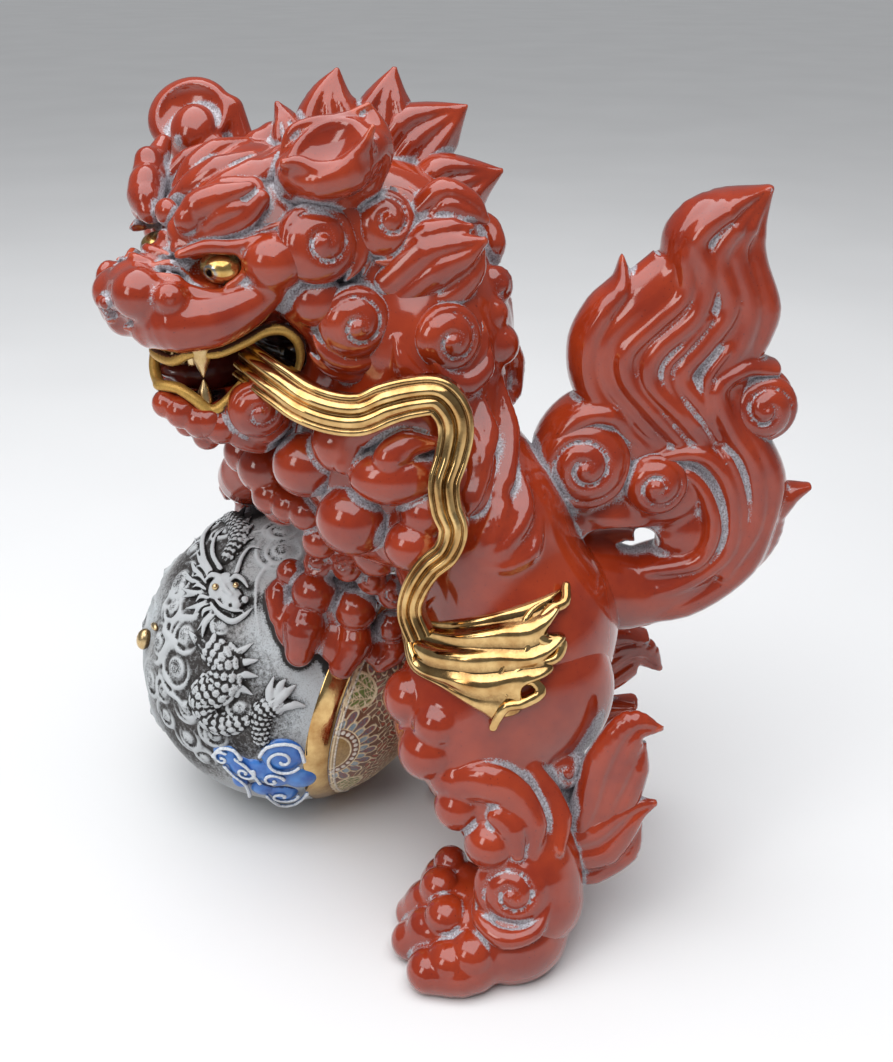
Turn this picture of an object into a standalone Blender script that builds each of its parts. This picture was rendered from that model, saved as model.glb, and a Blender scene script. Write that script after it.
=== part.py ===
"""Foo dog statue: a red glazed porcelain lion resting its forepaws on a relief ball.

The piece is built the way the pottery makes it: the trunk, head, limbs, tail, mane
locks, ribbons and ball are separate clay parts, luted together before firing.
Shapes are listed in millimetres and turned into metres when each mesh is made.
X runs to the lion's left, Y towards its tail and Z up.
"""
import math

import bmesh
import bpy
from mathutils import Euler, Matrix, Vector
from mathutils.bvhtree import BVHTree

MM = 0.001
GAP = 0.35
BALL_CENTRE = Vector((-60, -88, 81))
BALL_RADIUS = 83.5
BALL_AXIS = Vector((0.35, 0.91, -0.20)).normalized()
PANEL_START = 0.66 * BALL_RADIUS
BAND_WIDTH = 11.0
BAND_PROUD = 1.2
HEAD_ORIGIN = Vector((0, -88, 324))
HEAD_TURN = math.radians(40)
SOLE_HEIGHT = 0.0

GLAZES = {
    "red_glaze": ((0.27, 0.030, 0.012), 0.12, 0.0),
    "gold_lustre": ((0.62, 0.36, 0.10), 0.18, 1.0),
    "lip_gold": ((0.66, 0.42, 0.12), 0.40, 0.3),
    "bisque_white": ((0.38, 0.37, 0.36), 0.55, 0.0),
    "blue_enamel": ((0.02, 0.12, 0.48), 0.30, 0.0),
    "brocade_enamel": ((0.36, 0.27, 0.14), 0.35, 0.2),
    "tongue_glaze": ((0.16, 0.02, 0.02), 0.30, 0.0),
}


# ---------------------------------------------------------------- frames

def on_head(side, forward, up):
    """A point of the turned head: side to its left, forward out of its nose."""
    left = Vector((math.cos(HEAD_TURN), math.sin(HEAD_TURN), 0))
    front = Vector((math.sin(HEAD_TURN), -math.cos(HEAD_TURN), 0))
    return HEAD_ORIGIN + left * side + front * forward + Vector((0, 0, up))


def on_ball(right, up, near, height=0.0):
    """A point a stated height over the ball, in the direction right, up, near."""
    direction = Vector((near, right, up)).normalized()
    return BALL_CENTRE + direction * (BALL_RADIUS + height)


# ---------------------------------------------------------------- shapes

def ball(centre, radii, turn=(0, 0, 0), detail=3):
    """An ellipsoid; turn is in degrees about X, Y and Z."""
    if not hasattr(radii, "__len__"):
        radii = (radii, radii, radii)
    return {"kind": "ball", "centre": Vector(centre), "radii": radii,
            "turn": turn, "detail": detail}


def limb(points, radii, flat=1.0, facing=(1, 0, 0), sides=10, steps=4):
    """A tapered tube along a smooth curve; flat thins it along facing."""
    return {"kind": "limb", "points": [Vector(p) for p in points], "radii": radii,
            "flat": flat, "facing": Vector(facing), "sides": sides, "steps": steps}


def smooth_curve(points, values, steps):
    """Catmull-Rom points and values between the stated ones."""
    ends = [points[0] * 2 - points[1]] + list(points) + [points[-1] * 2 - points[-2]]
    tags = [values[0]] + list(values) + [values[-1]]
    path, sizes = [], []
    for index in range(len(points) - 1):
        before, start, stop, after = ends[index:index + 4]
        for step in range(steps):
            t = step / steps
            spot = (start * 2 + (stop - before) * t
                    + (before * 2 - start * 5 + stop * 4 - after) * t * t
                    + (start * 3 - before - stop * 3 + after) * t ** 3) / 2
            path.append(spot)
            sizes.append(tags[index + 1] * (1 - t) + tags[index + 2] * t)
    path.append(points[-1].copy())
    sizes.append(values[-1])
    return path, sizes


def add_ball(mesh, shape):
    turn = Euler([math.radians(angle) for angle in shape["turn"]]).to_matrix().to_4x4()
    matrix = Matrix.Translation(shape["centre"]) @ turn @ Matrix.Diagonal((*shape["radii"], 1))
    bmesh.ops.create_icosphere(mesh, subdivisions=shape["detail"], radius=1, matrix=matrix)


def add_limb(mesh, shape):
    path, sizes = smooth_curve(shape["points"], shape["radii"], shape["steps"])
    sides = shape["sides"]
    rings = []
    for index, (spot, size) in enumerate(zip(path, sizes)):
        ahead = path[min(index + 1, len(path) - 1)] - path[max(index - 1, 0)]
        ahead.normalize()
        thin = shape["facing"] - ahead * shape["facing"].dot(ahead)
        thin.normalize()
        wide = ahead.cross(thin)
        ring = []
        for side in range(sides):
            angle = 2 * math.pi * side / sides
            offset = thin * (math.cos(angle) * size * shape["flat"]) + wide * (math.sin(angle) * size)
            ring.append(mesh.verts.new(spot + offset))
        rings.append(ring)
    for lower, upper in zip(rings, rings[1:]):
        for side in range(sides):
            after = (side + 1) % sides
            mesh.faces.new((lower[side], lower[after], upper[after], upper[side]))
    mesh.faces.new(tuple(reversed(rings[0])))
    mesh.faces.new(tuple(rings[-1]))


def evaluated_mesh(piece):
    """The piece's mesh with its modifiers applied."""
    bpy.context.view_layer.update()
    graph = bpy.context.evaluated_depsgraph_get()
    return bpy.data.meshes.new_from_object(piece.evaluated_get(graph))


def apply_modifiers(piece):
    finished = evaluated_mesh(piece)
    piece.modifiers.clear()
    piece.data = finished
    mesh = bmesh.new()
    mesh.from_mesh(finished)
    bmesh.ops.triangulate(mesh, faces=mesh.faces)
    mesh.to_mesh(finished)
    mesh.free()


def link_mesh(name, mesh):
    bmesh.ops.triangulate(mesh, faces=mesh.faces)
    bmesh.ops.recalc_face_normals(mesh, faces=mesh.faces)
    bmesh.ops.scale(mesh, vec=(MM, MM, MM), verts=mesh.verts)
    data = bpy.data.meshes.new(name)
    mesh.to_mesh(data)
    mesh.free()
    piece = bpy.data.objects.new(name, data)
    bpy.context.scene.collection.objects.link(piece)
    return piece


def mould(name, shapes, faces, voxel=2.5):
    """Join the shapes into one clay body and bring it to a face count."""
    mesh = bmesh.new()
    for shape in shapes:
        if shape["kind"] == "ball":
            add_ball(mesh, shape)
        else:
            add_limb(mesh, shape)
    piece = link_mesh(name, mesh)
    if len(shapes) > 1:
        remesh = piece.modifiers.new("join", "REMESH")
        remesh.mode = "VOXEL"
        remesh.voxel_size = voxel * MM
        apply_modifiers(piece)
    thin_out(piece, faces)
    return piece


def thin_out(piece, faces):
    """Collapse the mesh to about the stated number of triangles."""
    triangles = sum(len(polygon.vertices) - 2 for polygon in piece.data.polygons)
    if triangles <= faces:
        return
    thin = piece.modifiers.new("thin", "DECIMATE")
    thin.ratio = faces / triangles
    apply_modifiers(piece)


def slab(name, low, high, radius):
    """The ball between two planes across its axis, at distances low and high."""
    mesh = bmesh.new()
    matrix = Matrix.Translation(BALL_CENTRE)
    bmesh.ops.create_icosphere(mesh, subdivisions=3, radius=radius, matrix=matrix)
    for distance, keep_above in ((low, True), (high, False)):
        if distance is None:
            continue
        normal = BALL_AXIS if not keep_above else -BALL_AXIS
        cut_flat(mesh, BALL_CENTRE + BALL_AXIS * distance, normal)
    return link_mesh(name, mesh)


def cut_flat(mesh, point, normal):
    """Cut away what lies along normal beyond the point and close the cut."""
    geometry = mesh.verts[:] + mesh.edges[:] + mesh.faces[:]
    bmesh.ops.bisect_plane(mesh, geom=geometry, dist=1e-7, plane_co=point,
                           plane_no=normal, clear_outer=True)
    rim = [edge for edge in mesh.edges if edge.is_boundary]
    bmesh.ops.holes_fill(mesh, edges=rim)


def stand_flat(piece):
    """Grind the underside flat at the height of the shelf it stands on."""
    mesh = bmesh.new()
    mesh.from_mesh(piece.data)
    cut_flat(mesh, Vector((0, 0, SOLE_HEIGHT)), Vector((0, 0, -1)))
    bmesh.ops.triangulate(mesh, faces=mesh.faces)
    mesh.to_mesh(piece.data)
    mesh.free()


def keep_largest(piece):
    """Drop crumbs that a cut leaves loose beside the main body."""
    mesh = bmesh.new()
    mesh.from_mesh(piece.data)
    unseen = set(mesh.verts)
    bodies = []
    while unseen:
        start = unseen.pop()
        body, queue = {start}, [start]
        while queue:
            for edge in queue.pop().link_edges:
                for vertex in edge.verts:
                    if vertex in unseen:
                        unseen.discard(vertex)
                        body.add(vertex)
                        queue.append(vertex)
        bodies.append(body)
    bodies.sort(key=len)
    crumbs = [vertex for body in bodies[:-1] for vertex in body]
    bmesh.ops.delete(mesh, geom=crumbs, context="VERTS")
    mesh.to_mesh(piece.data)
    mesh.free()
    return len(bodies)


def clear_direction(vertex):
    """The shift that moves each face round the vertex outwards by about one unit."""
    shift = vertex.normal.copy()
    for _ in range(30):
        for face in vertex.link_faces:
            short = 1.0 - shift.dot(face.normal)
            if short > 0:
                shift += face.normal * short
    return shift if shift.length < 3 else shift.normalized() * 3


def grown_copy(piece):
    """A cutter the size of the piece plus the gap that neighbours keep."""
    mesh = bmesh.new()
    mesh.from_mesh(piece.data)
    bmesh.ops.triangulate(mesh, faces=mesh.faces)
    mesh.normal_update()
    shifts = [clear_direction(vertex) * (GAP * MM) for vertex in mesh.verts]
    for vertex, shift in zip(mesh.verts, shifts):
        vertex.co += shift
    data = bpy.data.meshes.new(piece.name + "_room")
    mesh.to_mesh(data)
    mesh.free()
    cutter = bpy.data.objects.new(data.name, data)
    bpy.context.scene.collection.objects.link(cutter)
    cutter.hide_render = True
    cutter.display_type = "WIRE"
    return cutter


def surface_tree(piece):
    mesh = bmesh.new()
    mesh.from_mesh(piece.data)
    tree = BVHTree.FromBMesh(mesh)
    mesh.free()
    return tree


def cut_back(piece, cutter):
    """Subtract the cutter; the second solver steps in where the first returns nothing."""
    whole = piece.data
    for solver in ("EXACT", "MANIFOLD"):
        piece.data = whole.copy()
        cut = piece.modifiers.new("room", "BOOLEAN")
        cut.operation = "DIFFERENCE"
        cut.solver = solver
        cut.object = cutter
        apply_modifiers(piece)
        if piece.data.polygons:
            break
    keep_largest(piece)


def make_room(pieces):
    """Cut every piece back from the ones laid before it."""
    cutters = []
    for piece in pieces:
        for cutter, tree in cutters:
            if tree.overlap(surface_tree(piece)):
                cut_back(piece, cutter)
        grown = grown_copy(piece)
        cutters.append((grown, surface_tree(grown)))
    for cutter, tree in cutters:
        bpy.data.objects.remove(cutter)


# ---------------------------------------------------------------- pieces

def both(name, build):
    """The left and the right copy of a piece of the head."""
    return [build(name + "_left", 1), build(name + "_right", -1)]


def trunk():
    shapes = [
        ball((22, 34, 146), (56, 50, 52)),
        ball((16, 16, 192), (50, 44, 50)),
        ball((6, -20, 232), (54, 54, 52)),
        ball((-4, -16, 282), (48, 47, 52)),
        ball((-8, -30, 318), (38, 46, 44)),
    ]
    return mould("trunk", shapes, 480, 4)


def head():
    shapes = [
        ball(on_head(0, -6, 5), (48, 42, 41), (0, 0, 40)),
        ball(on_head(0, 36, -15), (36, 25, 20), (0, 0, 40)),
        ball(on_head(0, 60, -7), 14),
        ball(on_head(0, 36, 3), (22, 26, 12), (0, 0, 40)),
    ]
    for side in (1, -1):
        shapes += [
            ball(on_head(side * 20, 56, -8), 12),
            ball(on_head(side * 26, 44, -16), 14),
            ball(on_head(side * 40, 12, 2), 15),
            ball(on_head(side * 40, -6, -18), (15, 17, 22), (0, 0, 40)),
        ]
    return mould("head", shapes, 520)


def lower_jaw():
    shapes = [
        ball(on_head(0, 31, -62), (30, 26, 12), (0, 0, 40)),
        ball(on_head(0, 6, -58), (30, 24, 13), (0, 0, 40)),
    ]
    return mould("lower_jaw", shapes, 220)


def lips():
    upper = []
    lower = []
    for side in (-1, 1):
        stretch = [
            (36, 0, -41), (35, 6, -29), (32, 20, -29), (25, 38, -34), (12, 51, -36), (0, 55, -37)]
        under = [(33, 10, -47), (29, 26, -49), (24, 38, -58), (13, 49, -53), (0, 55, -51)]
        upper.append(limb([on_head(side * s, f, u) for s, f, u in stretch], [2.4] * 6, sides=6, steps=2))
        lower.append(limb([on_head(side * s, f, u) for s, f, u in under], [2.6] * 5, sides=6, steps=2))
    return [mould("upper_lip", upper, 200, 1.4), mould("lower_lip", lower, 180, 1.4)]


def tongue():
    shape = limb([on_head(0, 8, -48), on_head(0, 28, -45), on_head(0, 46, -47)], [16, 15, 6],
                 flat=0.35, facing=(0, 0, 1), sides=10, steps=3)
    return mould("tongue", [shape], 160)


def fangs():
    pieces = []
    for word, side in (("left", 1), ("right", -1)):
        top = limb([on_head(side * 21, 40, -31), on_head(side * 21, 40.5, -40), on_head(side * 21, 41, -46)],
                   [4.5, 3.4, 0.8], sides=8, steps=2)
        bottom = limb([on_head(side * 19, 38, -60), on_head(side * 19, 39, -54), on_head(side * 19, 40, -48)],
                      [3.6, 2.8, 0.7], sides=8, steps=2)
        pieces.append(mould("upper_fang_" + word, [top], 60))
        pieces.append(mould("lower_fang_" + word, [bottom], 60))
    return pieces


def front_teeth():
    row = [ball(on_head(step * 5, 49 - abs(step) * 1.5, -38), (3, 3, 5), detail=2) for step in (-2, -1, 0, 1, 2)]
    return mould("front_teeth", row, 160, 1.2)


def eye(name, side):
    return mould(name, [ball(on_head(side * 27, 29, 1), (9, 8, 7), (0, 0, 40), detail=2)], 120)


def brow(name, side):
    ridge = limb([on_head(side * 11, 38, 15), on_head(side * 23, 35, 21), on_head(side * 34, 24, 27),
                  on_head(side * 43, 13, 40)], [7, 11, 10, 2.5], sides=10, steps=3)
    knobs = [ball(on_head(side * 19, 38, 27), 6, detail=2), ball(on_head(side * 30, 28, 32), 6, detail=2)]
    return mould(name, [ridge] + knobs, 240, 1.8)


def ear(name, side):
    dish = ball(on_head(side * 50, -12, 44), (13, 26, 18), (20, 0, 40 - side * 10))
    tip = limb([on_head(side * 50, -18, 46), on_head(side * 55, -27, 58), on_head(side * 57, -28, 67)],
               [16, 10, 1.5], flat=0.6, sides=8, steps=3)
    stem = ball(on_head(side * 42, -2, 32), 12, detail=2)
    return mould(name, [dish, tip, stem], 260, 2)


def crest():
    tips = [
        ("crest_flame_1", [(-10, -80, 362), (-12, -78, 374), (-13, -75, 385)], [12, 7, 1.5]),
        ("crest_flame_2", [(-16, -66, 358), (-22, -60, 378), (-30, -50, 397)], [21, 15, 1.5]),
        ("crest_flame_3", [(-20, -44, 352), (-27, -36, 374), (-36, -24, 397)], [22, 16, 1.5]),
        ("crest_flame_4", [(-16, -30, 340), (-24, -14, 360), (-34, 7, 380)], [24, 17, 1.5]),
        ("crest_flame_5", [(-10, -24, 324), (-12, 0, 340), (-20, 25, 353)], [22, 17, 1.5]),
    ]
    pieces = []
    for name, points, radii in tips:
        lock = limb(points, radii, flat=0.62, facing=(1, 0.5, 0), sides=8, steps=3)
        pieces.append(mould(name, [lock], 110))
    return pieces


def side_lock(name, side):
    """The swept flame lock behind each ear's curls."""
    if side > 0:
        points = [(20, -26, 312), (22, -4, 320), (14, 15, 330)]
    else:
        points = [(-40, -48, 302), (-46, -22, 310), (-48, 4, 322)]
    return mould(name, [limb(points, [17, 19, 2], flat=0.6, sides=8, steps=3)], 140)


def curl(name, centre, outward, radius, thick):
    """A rolled curl of mane: a low dome that faces outward."""
    turn = Vector((0, 0, 1)).rotation_difference(Vector(outward)).to_matrix().to_4x4()
    mesh = bmesh.new()
    matrix = Matrix.Translation(Vector(centre)) @ turn @ Matrix.Diagonal((radius, radius, thick, 1))
    bmesh.ops.create_icosphere(mesh, subdivisions=2, radius=1, matrix=matrix)
    return link_mesh(name, mesh)


def mane_curls():
    layout = [
        ("mane_curl_cheek_left", on_head(47, -2, 11), (0.80, 0.50, 0.15), 21, 15),
        ("mane_curl_cheek_right", on_head(-47, -2, 11), (-0.80, -0.50, 0.15), 21, 15),
        ("mane_curl_upper_left", (24, -26, 341), (0.85, 0.35, 0.35), 16, 16),
        ("mane_curl_upper_right", (-44, -66, 342), (-0.95, -0.20, 0.35), 16, 16),
        ("mane_curl_jaw_left", (33, -38, 301), (0.88, 0.45, 0.05), 20, 16),
        ("mane_curl_jaw_right", (-46, -76, 300), (-0.95, -0.20, 0.05), 20, 16),
        ("mane_curl_neck_left", (26, -3, 291), (0.80, 0.60, 0.00), 20, 19),
        ("mane_curl_neck_right", (-46, -34, 288), (-0.95, 0.20, 0.00), 20, 16),
    ]
    return [curl(name, centre, outward, radius, thick) for name, centre, outward, radius, thick in layout]


def beard():
    shapes = [ball(on_head(0, 38, -74), (22, 15, 12), (0, 0, 40), detail=2)]
    for side in (1, -1):
        shapes += [ball(on_head(side * 14, 36, -72), 12, detail=2),
                   ball(on_head(side * 30, 18, -66), 14, detail=2)]
    return mould("beard", shapes, 240)


def chest_ruff():
    lumps = [((10, -72, 224), 18), ((40, -24, 246), 18), ((32, -42, 226), 22), ((20, -54, 202), 19),
             ((40, -20, 214), 15), ((34, -28, 200), 14), ((0, -76, 204), 16), ((6, -74, 240), 20),
             ((-24, -72, 218), 20), ((-40, -50, 226), 20), ((-18, -66, 198), 16)]
    return mould("chest_ruff", [ball(centre, radius, detail=2) for centre, radius in lumps], 340)


def left_foreleg():
    leg = limb([(34, 4, 224), (42, -12, 196), (34, -36, 180), (20, -56, 156)], [26, 25, 23, 22], steps=3)
    toes = [ball((18, -58, 146), 24, detail=2)]
    for knuckle, tip in (((10, -82, 162), (2, -84, 146)), ((22, -72, 158), (14, -78, 130)),
                         ((28, -54, 152), (24, -60, 122)), ((32, -36, 150), (28, -40, 124))):
        toes.append(limb([(24, -56, 164), knuckle, tip], [12, 12, 8], steps=3, sides=8))
    return mould("left_foreleg", [leg] + toes, 420)


def right_foreleg():
    leg = limb([(-30, -34, 226), (-56, -66, 204), (-82, -86, 186), (-104, -96, 164)], [26, 24, 20, 17], steps=3)
    toes = []
    for knuckle, tip in (((-104, -116, 170), (-122, -124, 150)), ((-116, -104, 166), (-132, -108, 138)),
                         ((-120, -90, 162), (-134, -90, 134)), ((-116, -76, 160), (-128, -70, 136))):
        toes.append(limb([(-92, -92, 176), knuckle, tip], [12, 10, 6], steps=3, sides=8))
    return mould("right_foreleg", [leg] + toes, 360)


def left_hind_leg():
    shapes = [
        ball((50, 30, 126), (34, 50, 48)),
        limb([(50, 8, 112), (64, 22, 84), (80, 40, 54), (88, 42, 32)], [36, 30, 24, 24], steps=3),
        ball((38, -18, 118), 16, detail=2),
        ball((50, -8, 94), 17, detail=2),
        ball((66, 4, 70), 14, detail=2),
        ball((78, 18, 54), 14, detail=2),
    ]
    return mould("left_hind_leg", shapes, 440, 3.5)


def left_hind_paw():
    shapes = [ball((92, 34, 16), (30, 34, 26))]
    for knuckle, tip in (((66, 8, 26), (58, -16, 9)), ((82, 4, 27), (78, -20, 9)),
                         ((100, 4, 26), (101, -17, 9)), ((116, 14, 20), (120, -3, 9))):
        shapes.append(limb([(90, 26, 26), knuckle, tip], [15, 12, 9], steps=3, sides=8))
    paw = mould("left_hind_paw", shapes, 340)
    stand_flat(paw)
    return paw


def right_hind_leg():
    shapes = [
        ball((-14, 46, 122), (30, 42, 46)),
        limb([(-16, 30, 108), (-26, 38, 80), (-36, 52, 50), (-40, 52, 30)], [30, 25, 21, 21], steps=3),
    ]
    return mould("right_hind_leg", shapes, 340, 3.5)


def right_hind_paw():
    shapes = [ball((-42, 44, 16), (25, 32, 24))]
    for knuckle, tip in (((-60, 24, 24), (-66, 4, 8)), ((-46, 18, 26), (-50, -4, 8)),
                         ((-32, 20, 26), (-32, -2, 8)), ((-20, 28, 20), (-16, 10, 8))):
        shapes.append(limb([(-42, 38, 26), knuckle, tip], [14, 11, 8], steps=3, sides=8))
    paw = mould("right_hind_paw", shapes, 300)
    stand_flat(paw)
    return paw


def leg_flames():
    layout = [
        ("left_leg_flame_upper", [(74, 56, 96), (76, 78, 100), (72, 101, 116)], [20, 15, 1.5]),
        ("left_leg_flame_lower", [(78, 52, 62), (78, 78, 64), (76, 99, 78)], [19, 13, 1.5]),
        ("right_leg_flame_upper", [(-28, 66, 88), (-30, 92, 82), (-30, 118, 88)], [18, 12, 1.5]),
        ("right_leg_flame_lower", [(-34, 62, 60), (-34, 84, 58), (-32, 106, 66)], [16, 11, 1.5]),
    ]
    return [mould(name, [limb(points, radii, flat=0.5, sides=8, steps=3)], 110)
            for name, points, radii in layout]


def tail():
    shapes = [
        limb([(14, 66, 158), (6, 100, 158), (5, 124, 184), (5, 122, 226), (5, 96, 262), (5, 100, 296),
              (5, 126, 322), (5, 141, 354)], [24, 20, 20, 28, 38, 36, 19, 1.5], flat=0.6, steps=3),
        limb([(5, 92, 262), (5, 80, 288), (5, 74, 306), (5, 78, 323)], [30, 22, 12, 1.5], flat=0.6, steps=3),
        limb([(5, 96, 296), (5, 104, 320), (5, 112, 336), (5, 136, 346)], [26, 20, 14, 6], flat=0.6, steps=3),
        limb([(5, 112, 170), (5, 138, 190), (5, 156, 194), (5, 174, 210)], [18, 17, 11, 1.5], flat=0.6, steps=3),
        limb([(5, 122, 240), (5, 136, 262), (5, 134, 290), (5, 128, 316)], [16, 16, 16, 12], flat=0.6, steps=3),
        ball((5, 140, 246), (13, 18, 22)),
        ball((8, 68, 226), (20, 27, 27)),
        ball((10, 96, 210), (18, 22, 22)),
        ball((8, 74, 196), (16, 20, 16)),
    ]
    return mould("tail", shapes, 440, 3)


def tail_curls():
    return [curl("tail_curl_inner", (24, 64, 228), (1, 0, 0.2), 20, 14),
            curl("tail_curl_middle", (22, 98, 218), (1, 0, 0.2), 16, 11),
            curl("tail_curl_outer", (10, 145, 253), (1, 0, 0.2), 14, 13)]


def ribbon():
    path = [(36, -86, 280), (44, -78, 280), (52, -66, 271), (56, -52, 262), (58, -38, 261), (60, -22, 266),
            (60, -8, 270), (60, 2, 263), (62, 4, 248), (66, -1, 234), (70, 2, 220), (72, 2, 204),
            (70, -8, 190), (70, -15, 174), (76, -8, 160)]
    radii = [8.5] * 4 + [7.5] * 6 + [6, 5.5, 5.5, 7, 9]
    stream = limb(path, radii, flat=0.5, sides=8, steps=2)
    fan = limb([(76, -8, 160), (80, 12, 158), (82, 32, 164), (82, 46, 172)], [9, 16, 24, 27], flat=0.22,
               sides=10, steps=3)
    return [mould("ribbon_stream", [stream], 300), mould("ribbon_end", [fan], 160)]


def ball_sections():
    shell = slab("ball_shell", None, PANEL_START - BAND_WIDTH - GAP, BALL_RADIUS)
    band = slab("ball_gold_band", PANEL_START - BAND_WIDTH, PANEL_START, BALL_RADIUS + BAND_PROUD)
    panel = slab("ball_brocade_panel", PANEL_START + GAP, None, BALL_RADIUS)
    stand_flat(shell)
    stand_flat(band)
    return [shell, band, panel]


def ball_reliefs():
    dragon_body = limb([on_ball(-0.62, -0.55, 0.56), on_ball(-0.45, -0.25, 0.86), on_ball(-0.62, 0.02, 0.78),
                        on_ball(-0.42, 0.30, 0.84), on_ball(-0.30, 0.52, 0.78)], [7, 9, 8, 8, 7],
                       flat=0.7, steps=4, sides=8)
    return [
        mould("dragon_body", [dragon_body], 300),
        mould("dragon_head", [ball(on_ball(-0.40, 0.52, 0.76, 2), (8, 11, 12), detail=2)], 160),
        mould("dragon_claw", [limb([on_ball(-0.30, -0.30, 0.90), on_ball(-0.12, -0.30, 0.94),
                                    on_ball(-0.02, -0.14, 0.98)], [6, 5, 2], flat=0.7, sides=6, steps=3)], 100),
        mould("cloud_scroll_blue", [ball(on_ball(-0.30, -0.62, 0.72, -1), (6, 15, 12), (0, 0, 0), detail=2),
                                    ball(on_ball(-0.12, -0.70, 0.70, -1), (6, 12, 10), detail=2)], 160, 2),
        mould("dragon_pearl", [ball(on_ball(-0.88, 0.30, 0.36, 2), 5, detail=2)], 100),
    ]


# ---------------------------------------------------------------- assembly

def glaze(pieces, kind):
    colour, roughness, metallic = GLAZES[kind]
    material = bpy.data.materials.new(kind)
    material.use_nodes = True
    shader = material.node_tree.nodes["Principled BSDF"]
    shader.inputs["Base Color"].default_value = (*colour, 1)
    shader.inputs["Roughness"].default_value = roughness
    shader.inputs["Metallic"].default_value = metallic
    material.diffuse_color = (*colour, 1)
    for piece in pieces:
        piece.data.materials.clear()
        piece.data.materials.append(material)


def centre_on_origin(pieces):
    """Move the statue so that the middle of its base box is the origin."""
    corners = [vertex.co for piece in pieces for vertex in piece.data.vertices]
    low = Vector([min(corner[axis] for corner in corners) for axis in range(3)])
    high = Vector([max(corner[axis] for corner in corners) for axis in range(3)])
    shift = Vector((-(low.x + high.x) / 2, -(low.y + high.y) / 2, -low.z))
    for piece in pieces:
        piece.data.transform(Matrix.Translation(shift))


def build():
    for leftover in list(bpy.data.objects):
        bpy.data.objects.remove(leftover)

    ball_parts = ball_sections()
    reliefs = ball_reliefs()
    gilding = ribbon()
    eyes = both("eye", eye)
    teeth = fangs() + [front_teeth()]
    mouth_rims = lips()
    mouth_floor = [tongue()]
    red_parts = [trunk(), left_hind_leg(), right_hind_leg(), left_hind_paw(), right_hind_paw(), head(),
                 lower_jaw(), left_foreleg(), right_foreleg(), chest_ruff(), beard(), tail()]
    red_trim = (both("brow", brow) + both("ear", ear) + mane_curls() + crest()
                + both("mane_lock", side_lock) + tail_curls() + leg_flames())
    order = ball_parts + red_parts[:7] + eyes + mouth_rims + teeth + mouth_floor + red_parts[7:]
    order += red_trim + gilding + reliefs
    make_room(order)

    glaze(red_parts + red_trim, "red_glaze")
    glaze(gilding + eyes + teeth + [ball_parts[1], reliefs[4]], "gold_lustre")
    glaze(mouth_rims, "lip_gold")
    glaze(mouth_floor, "tongue_glaze")
    glaze([ball_parts[0]] + reliefs[:3], "bisque_white")
    glaze([reliefs[3]], "blue_enamel")
    glaze([ball_parts[2]], "brocade_enamel")
    centre_on_origin(order)
    for piece in order:
        piece.data.shade_smooth()


build()
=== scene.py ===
"""Foo dog statue, finished look: clay forms sculpted as distance fields, then glazed.

Every form is written in millimetres in the statue's design frame (X to the lion's
left, Y to its tail, Z up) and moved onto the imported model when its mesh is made.

Where the numbers come from: the curls, fangs, eyeballs and the pearl sit on their CAD
parts. Most of the other point lists do not come from the frame. They were worked out
outside this script, from a reference picture through a fitted camera, and written in as
rounded millimetres. They are fixed values, so they will not follow a change to the CAD.
"""
import math

import bpy
import numpy as np
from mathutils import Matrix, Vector


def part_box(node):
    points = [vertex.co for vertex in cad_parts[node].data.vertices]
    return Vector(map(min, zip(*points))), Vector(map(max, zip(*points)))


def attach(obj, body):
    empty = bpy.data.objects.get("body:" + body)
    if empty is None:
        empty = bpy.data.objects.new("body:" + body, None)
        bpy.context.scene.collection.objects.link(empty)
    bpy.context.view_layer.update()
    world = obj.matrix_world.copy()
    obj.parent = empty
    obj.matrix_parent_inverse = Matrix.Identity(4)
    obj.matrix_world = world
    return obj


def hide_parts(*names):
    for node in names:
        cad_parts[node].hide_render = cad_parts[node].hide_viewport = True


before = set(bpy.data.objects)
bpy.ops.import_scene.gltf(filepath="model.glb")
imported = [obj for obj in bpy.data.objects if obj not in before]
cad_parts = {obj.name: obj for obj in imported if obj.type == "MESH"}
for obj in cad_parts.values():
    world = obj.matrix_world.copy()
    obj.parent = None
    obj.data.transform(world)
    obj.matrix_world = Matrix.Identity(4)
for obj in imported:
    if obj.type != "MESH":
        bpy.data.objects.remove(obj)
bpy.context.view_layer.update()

BALL_CENTRE = np.array([-60.0, -88.0, 81.0])
BALL_RADIUS = 83.5
BALL_AXIS = np.array([0.35, 0.91, -0.20]) / np.linalg.norm([0.35, 0.91, -0.20])
PANEL_START = 0.66 * BALL_RADIUS
BAND_WIDTH = 11.0
HEAD_ORIGIN = np.array([0.0, -88.0, 324.0])
HEAD_TURN = math.radians(40)
FAR = 30.0
MM = 0.001

# The ball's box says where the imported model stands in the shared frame.
SHIFT = np.array([1000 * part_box("ball_shell")[0][0] - (BALL_CENTRE[0] - BALL_RADIUS),
                  1000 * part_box("ball_shell")[0][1] - (BALL_CENTRE[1] - BALL_RADIUS), 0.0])

HEAD_LEFT = np.array([math.cos(HEAD_TURN), math.sin(HEAD_TURN), 0.0])
HEAD_FRONT = np.array([math.sin(HEAD_TURN), -math.cos(HEAD_TURN), 0.0])
HEAD_ROWS = np.array([HEAD_LEFT, HEAD_FRONT, [0.0, 0.0, 1.0]])


def hd(side, forward, up):
    """A point of the turned head, in design millimetres."""
    return HEAD_ORIGIN + HEAD_LEFT * side + HEAD_FRONT * forward + np.array([0.0, 0.0, up])


def hd_way(side, forward, up):
    """A direction stated in the turned head's frame."""
    way = HEAD_LEFT * side + HEAD_FRONT * forward + np.array([0.0, 0.0, up])
    return way / np.linalg.norm(way)


def middle(node, side=0.0, forward=0.0):
    """The middle of a CAD part's box, in design millimetres, shifted along the head's axes."""
    low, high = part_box(node)
    return np.array((low + high) / 2) / MM - SHIFT + HEAD_LEFT * side + HEAD_FRONT * forward


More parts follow.
